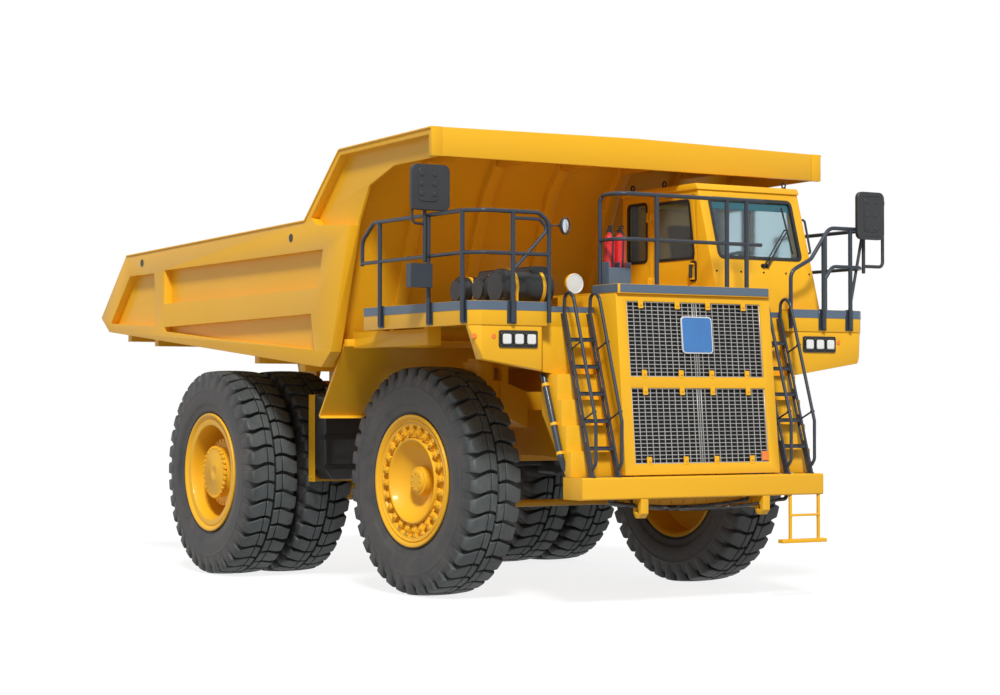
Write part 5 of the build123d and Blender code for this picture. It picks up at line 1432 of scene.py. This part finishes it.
# %% Softened plates
def softened(node, width, angle=0.6):
    """Copy of a CAD node with chamfered edges that replaces it."""
    source, mesh = nodes[node], start()
    mesh.from_mesh(source.data)
    mesh.transform(source.matrix_world)
    bmesh.ops.remove_doubles(mesh, verts=mesh.verts, dist=0.00002)
    bmesh.ops.dissolve_limit(mesh, angle_limit=0.01, verts=mesh.verts, edges=mesh.edges)
    sharp = [e for e in mesh.edges if e.is_manifold and e.is_convex and e.calc_face_angle() > angle]
    bmesh.ops.bevel(mesh, geom=sharp, offset=width, segments=2, profile=0.5, affect="EDGES",
                    clamp_overlap=True)
    data = plain(smoothed(mesh, 30.0), node + "_soft")
    slot = slot_of[node]
    piece = placed(data, node + "_softened", slots[slot], body_of(source)[0])
    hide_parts(node)


SOFT = {
    "hood": 0.008, "bumper": 0.008, "deck_right": 0.004, "deck_left": 0.004, "deck_centre": 0.004,
    "lamp_housings": 0.005, "step_panels": 0.008, "hanging_step": 0.005, "cab_shell": 0.008,
    "cab_roof": 0.014, "cab_door": 0.004, "body_side_right": 0.009, "body_side_left": 0.009,
    "body_front_wall": 0.008, "body_canopy": 0.012, "body_floor": 0.008, "mudguards": 0.006,
    "fuel_tank": 0.022, "hydraulic_tank": 0.022, "driver_seat": 0.022, "frame": 0.006,
    "transmission": 0.012, "power_unit": 0.012,
}
for node, width in SOFT.items():
    softened(node, width)
print("softened:", list(SOFT))

# %% [markdown]
# The body is welded from pressed plates. Round lifting sockets stand on the outside of its top rails,
# and a spill strip runs along each rail, up to the canopy and along its edge. These lines carry the
# light in the photograph, so they are modelled although they are only centimetres deep.

# %% Lifting sockets on the body
SOCKET = [(-0.008, 0.0), (-0.008, 0.048), (0.004, 0.048), (0.006, 0.044), (0.006, 0.036), (0.0012, 0.034),
          (0.0012, 0.0)]
sockets = start()
for side in (-1, 1):
    for x, z in ((-3.690, 3.902), (0.652, 3.956)):
        facing = Matrix.Rotation(0.0 if side > 0 else math.pi, 4, "Z")
        turned_at(sockets, Matrix.Translation((x, side * 2.559, z)) @ facing, SOCKET, 32)
finished(sockets, "lifting_sockets", dark, "dump_body")
print("lifting sockets made: 2 a side")

# %% [markdown]
# A drain pipe runs down beside the step panel, in three yellow clamps that follow its slope. Two hoses
# hang below the bumper, in front of a cross beam. A hose is a sagging line of many points, and its
# length is printed.

# %% Drain pipe beside the step panel
PIPE_Y = -1.576
pipe = [(4.400, PIPE_Y, 2.352), (4.425, PIPE_Y, 2.352), (4.745, PIPE_Y, 1.530), (4.745, -1.520, 1.400)]
drain = tubes("drain", rail_paint, [pipe], 0.032, 0.05, 16)
joined("drain_pipe", rail_paint, "chassis", [drain])
clamps = start()
slope = Vector((0.320, 0.0, -0.822)).normalized() * 0.016
for x, z in ((4.462, 2.257), (4.617, 1.860), (4.730, 1.568)):
    at = Vector((x, PIPE_Y, z))
    rod(clamps, at - slope, at + slope, 0.039, 20)
    block(clamps, (x - 0.012, PIPE_Y, z - 0.020), (x + 0.012, -1.539, z + 0.020))
finished(clamps, "pipe_clamps", yellow, "chassis", bevel=0.002)
print("drain pipe made, with 3 clamps")

# %% Cross beam below the bumper
beam, head = start(), start()
block(beam, (4.868, -0.734, 0.995), (4.886, 0.734, 1.108))
block(beam, (4.868, -0.734, 0.995), (4.925, 0.734, 1.009))
for side in (-1, 1):
    mirrored(beam, side, (4.820, 0.720, 0.985), (4.948, 0.735, 1.108))
rod(head, (4.884, -0.600, 1.060), (4.897, -0.600, 1.060), 0.013, 6)
heads = grid.run(head, "heads", yellow, Columns=9, Rows=1, Across=(0.0, 0.150, 0.0))
plates = plain(smoothed(bevelled(beam, 0.003)), "beam")
joined("bumper_cross_beam", yellow, "chassis", [plates, heads])
print("cross beam made")

# %% Two hoses that sag between elbows in the bumper's underside
HOSE_Z, HOSE_STEPS = 1.062, 16
hoses, elbows = [], []
for x, first, last, sag in ((4.960, -1.000, 0.570, 0.050), (5.000, -1.100, 1.050, 0.075)):
    shares = [k / HOSE_STEPS for k in range(HOSE_STEPS + 1)]
    path = [(x, first + (last - first) * share, HOSE_Z - sag * 4 * share * (1 - share)) for share in shares]
    hoses.append(path)
    length = sum((Vector(a) - Vector(b)).length for a, b in zip(path, path[1:]))
    print("bumper hose:", round(length, 3), "m")
    for y, way in ((first, 1), (last, -1)):
        elbows.append([(x, y - way * 0.060, 1.110), (x, y - way * 0.060, 1.064), (x, y + way * 0.030, 1.060)])
shapes = [tubes("hoses", dark, hoses, 0.017, 0.001), tubes("elbows", dark, elbows, 0.021, 0.040)]
joined("bumper_hoses", dark, "chassis", shapes)

# %% [markdown]
# Bolts, caps and bands give the large plain plates their scale. The bands lie round three sides of
# each tank, and a folded bracket with four bolts stands on the right tank's outer rear corner.

# %% Bolts on the bumper, caps and bands of the tanks
bolts = []
for y in (-1.460, 1.460):
    head = start()
    rod(head, (5.0745, y, 1.160), (5.0875, y, 1.160), 0.016, 6)
    bolts.append(grid.run(head, "bolt", yellow, Columns=1, Rows=2, Up=(0.0, 0.0, 0.110)))
joined("bumper_bolts", yellow, "chassis", bolts)
CAP_X, BAND_HALF, BAND_THICK = 0.045, 0.030, 0.0025
caps, bands = start(), start()
for side in (-1, 1):
    cap_y = side * 1.740
    rod(caps, (CAP_X, cap_y, 2.179), (CAP_X, cap_y, 2.268), 0.0545, 32)
    rod(caps, (CAP_X, cap_y, 2.200), (CAP_X, cap_y, 2.262), 0.0548, 12)
    near_y, far_y = side * 1.2900, side * 1.9035
    corners = [(-0.1535, near_y), (-0.1535, far_y), (0.2435, far_y), (0.2435, near_y)]
    for z in (1.330, 1.680, 2.030):
        for a, b in zip(corners, corners[1:]):
            low = [min(pair) - BAND_THICK for pair in zip(a, b)]
            high = [max(pair) + BAND_THICK for pair in zip(a, b)]
            block(bands, (*low, z - BAND_HALF), (*high, z + BAND_HALF))
finished(caps, "tank_caps", dark, "chassis", bevel=0.004)
finished(bands, "tank_bands", dark, "chassis", bevel=0.001)
print("bolts, caps and bands made")

# %% Bracket of the right tank
bracket = start()
block(bracket, (-0.166, -1.914, 1.150), (-0.010, -1.907, 2.176))
block(bracket, (-0.166, -1.907, 1.150), (-0.158, -1.300, 2.176))
for z in (1.200, 1.500, 1.860, 2.130):
    rod(bracket, (-0.088, -1.913, z), (-0.088, -1.922, z), 0.016, 6)
finished(bracket, "tank_bracket", yellow, "chassis", bevel=0.002)
print("tank bracket made")

# %% Spill strips along the top rails and the canopy's edges
strips = []
for y in (-2.5625, 2.5625):
    line = [(-4.200, y, 4.022), (1.000, y, 4.128), (1.830, y, 4.850), (3.840, y, 4.888)]
    strips.append(tubes("strip", yellow, [line], 0.011, 0.05, 10))
joined("spill_strips", yellow, "dump_body", strips)
print("spill strips made, one a side")

# %% [markdown]
# The camera stands where the photograph was taken from. That is about 27 m from the middle of the
# truck, off its front right corner and 2.1 m above the ground, with a long lens.

# %% Camera
camera_data = bpy.data.cameras.new("camera")
camera_data.sensor_width = 36.0
camera_data.lens = 80.65
camera_data.clip_end = 500.0
camera = bpy.data.objects.new("camera", camera_data)
camera.location = (23.567, -13.953, 2.071)
camera.rotation_euler = (math.pi / 2 + 0.025, 0.0, 2.587 - math.pi / 2)
bpy.context.scene.collection.objects.link(camera)
bpy.context.scene.camera = camera
print("camera lens in millimetres:", camera_data.lens)

# %% [markdown]
# The studio is a pale floor with a white surround. Both are pure white for the camera and in
# reflections only. The light that falls on the truck stays plain, and the floor keeps its shadow.


# %% Floor
def white_ray(tree):
    """1 for rays of the camera, of mirrors and through glass, and 0 for the light itself."""
    path = tree.nodes.new("ShaderNodeLightPath")
    total = path.outputs["Is Camera Ray"]
    for name in ("Is Glossy Ray", "Is Transmission Ray"):
        most = tree.nodes.new("ShaderNodeMath")
        most.operation = "MAXIMUM"
        tree.links.new(total, most.inputs[0])
        tree.links.new(path.outputs[name], most.inputs[1])
        total = most.outputs[0]
    return total


floor_mesh = bpy.data.meshes.new("floor")
floor_mesh.from_pydata([(-90, -90, 0), (90, -90, 0), (90, 90, 0), (-90, 90, 0)], [], [(0, 1, 2, 3)])
floor = bpy.data.objects.new("floor", floor_mesh)
bpy.context.scene.collection.objects.link(floor)
floor_finish = Finish("floor", (0.42, 0.42, 0.42), 0.9)
glow = floor_finish.tree.nodes.new("ShaderNodeEmission")
glow.inputs["Strength"].default_value = 1.5
share = floor_finish.node("ShaderNodeMath", {"operation": "MULTIPLY"}, {
    0: Value(floor_finish, white_ray(floor_finish.tree)), 1: 0.56})
blend = floor_finish.tree.nodes.new("ShaderNodeMixShader")
floor_finish.tree.links.new(share.socket, blend.inputs[0])
floor_finish.tree.links.new(floor_finish.shader.outputs[0], blend.inputs[1])
floor_finish.tree.links.new(glow.outputs[0], blend.inputs[2])
floor_finish.tree.links.new(blend.outputs[0], floor_finish.tree.nodes["Material Output"].inputs[0])
floor_mesh.materials.append(floor_finish.material)
print("floor made, 180 m across")

# %% World
world = bpy.data.worlds.new("studio")
bpy.context.scene.world = world
world.use_nodes = True
tree = world.node_tree
tree.nodes.clear()
light = tree.nodes.new("ShaderNodeBackground")
light.inputs["Strength"].default_value = 0.34
white = tree.nodes.new("ShaderNodeBackground")
white.inputs["Strength"].default_value = 1.0
choice = tree.nodes.new("ShaderNodeMixShader")
tree.links.new(white_ray(tree), choice.inputs[0])
tree.links.new(light.outputs[0], choice.inputs[1])
tree.links.new(white.outputs[0], choice.inputs[2])
for made in (light, white):
    made.inputs["Color"].default_value = (1.0, 1.0, 1.0, 1.0)
out = tree.nodes.new("ShaderNodeOutputWorld")
tree.links.new(choice.outputs[0], out.inputs[0])
print("world made:", world.name)

# %% Sun
sun_data = bpy.data.lights.new("key", "SUN")
sun_data.energy = 3.3
sun_data.angle = math.radians(10.0)
sun = bpy.data.objects.new("key", sun_data)
sun.rotation_euler = (math.radians(90 - 44.0), 0.0, math.radians(60.0))
bpy.context.scene.collection.objects.link(sun)
print("sun stands 44 degrees above the ground")

# %% [markdown]
# Last, the view transform is set to Standard.

# %% View transform
bpy.context.scene.view_settings.view_transform = "Standard"
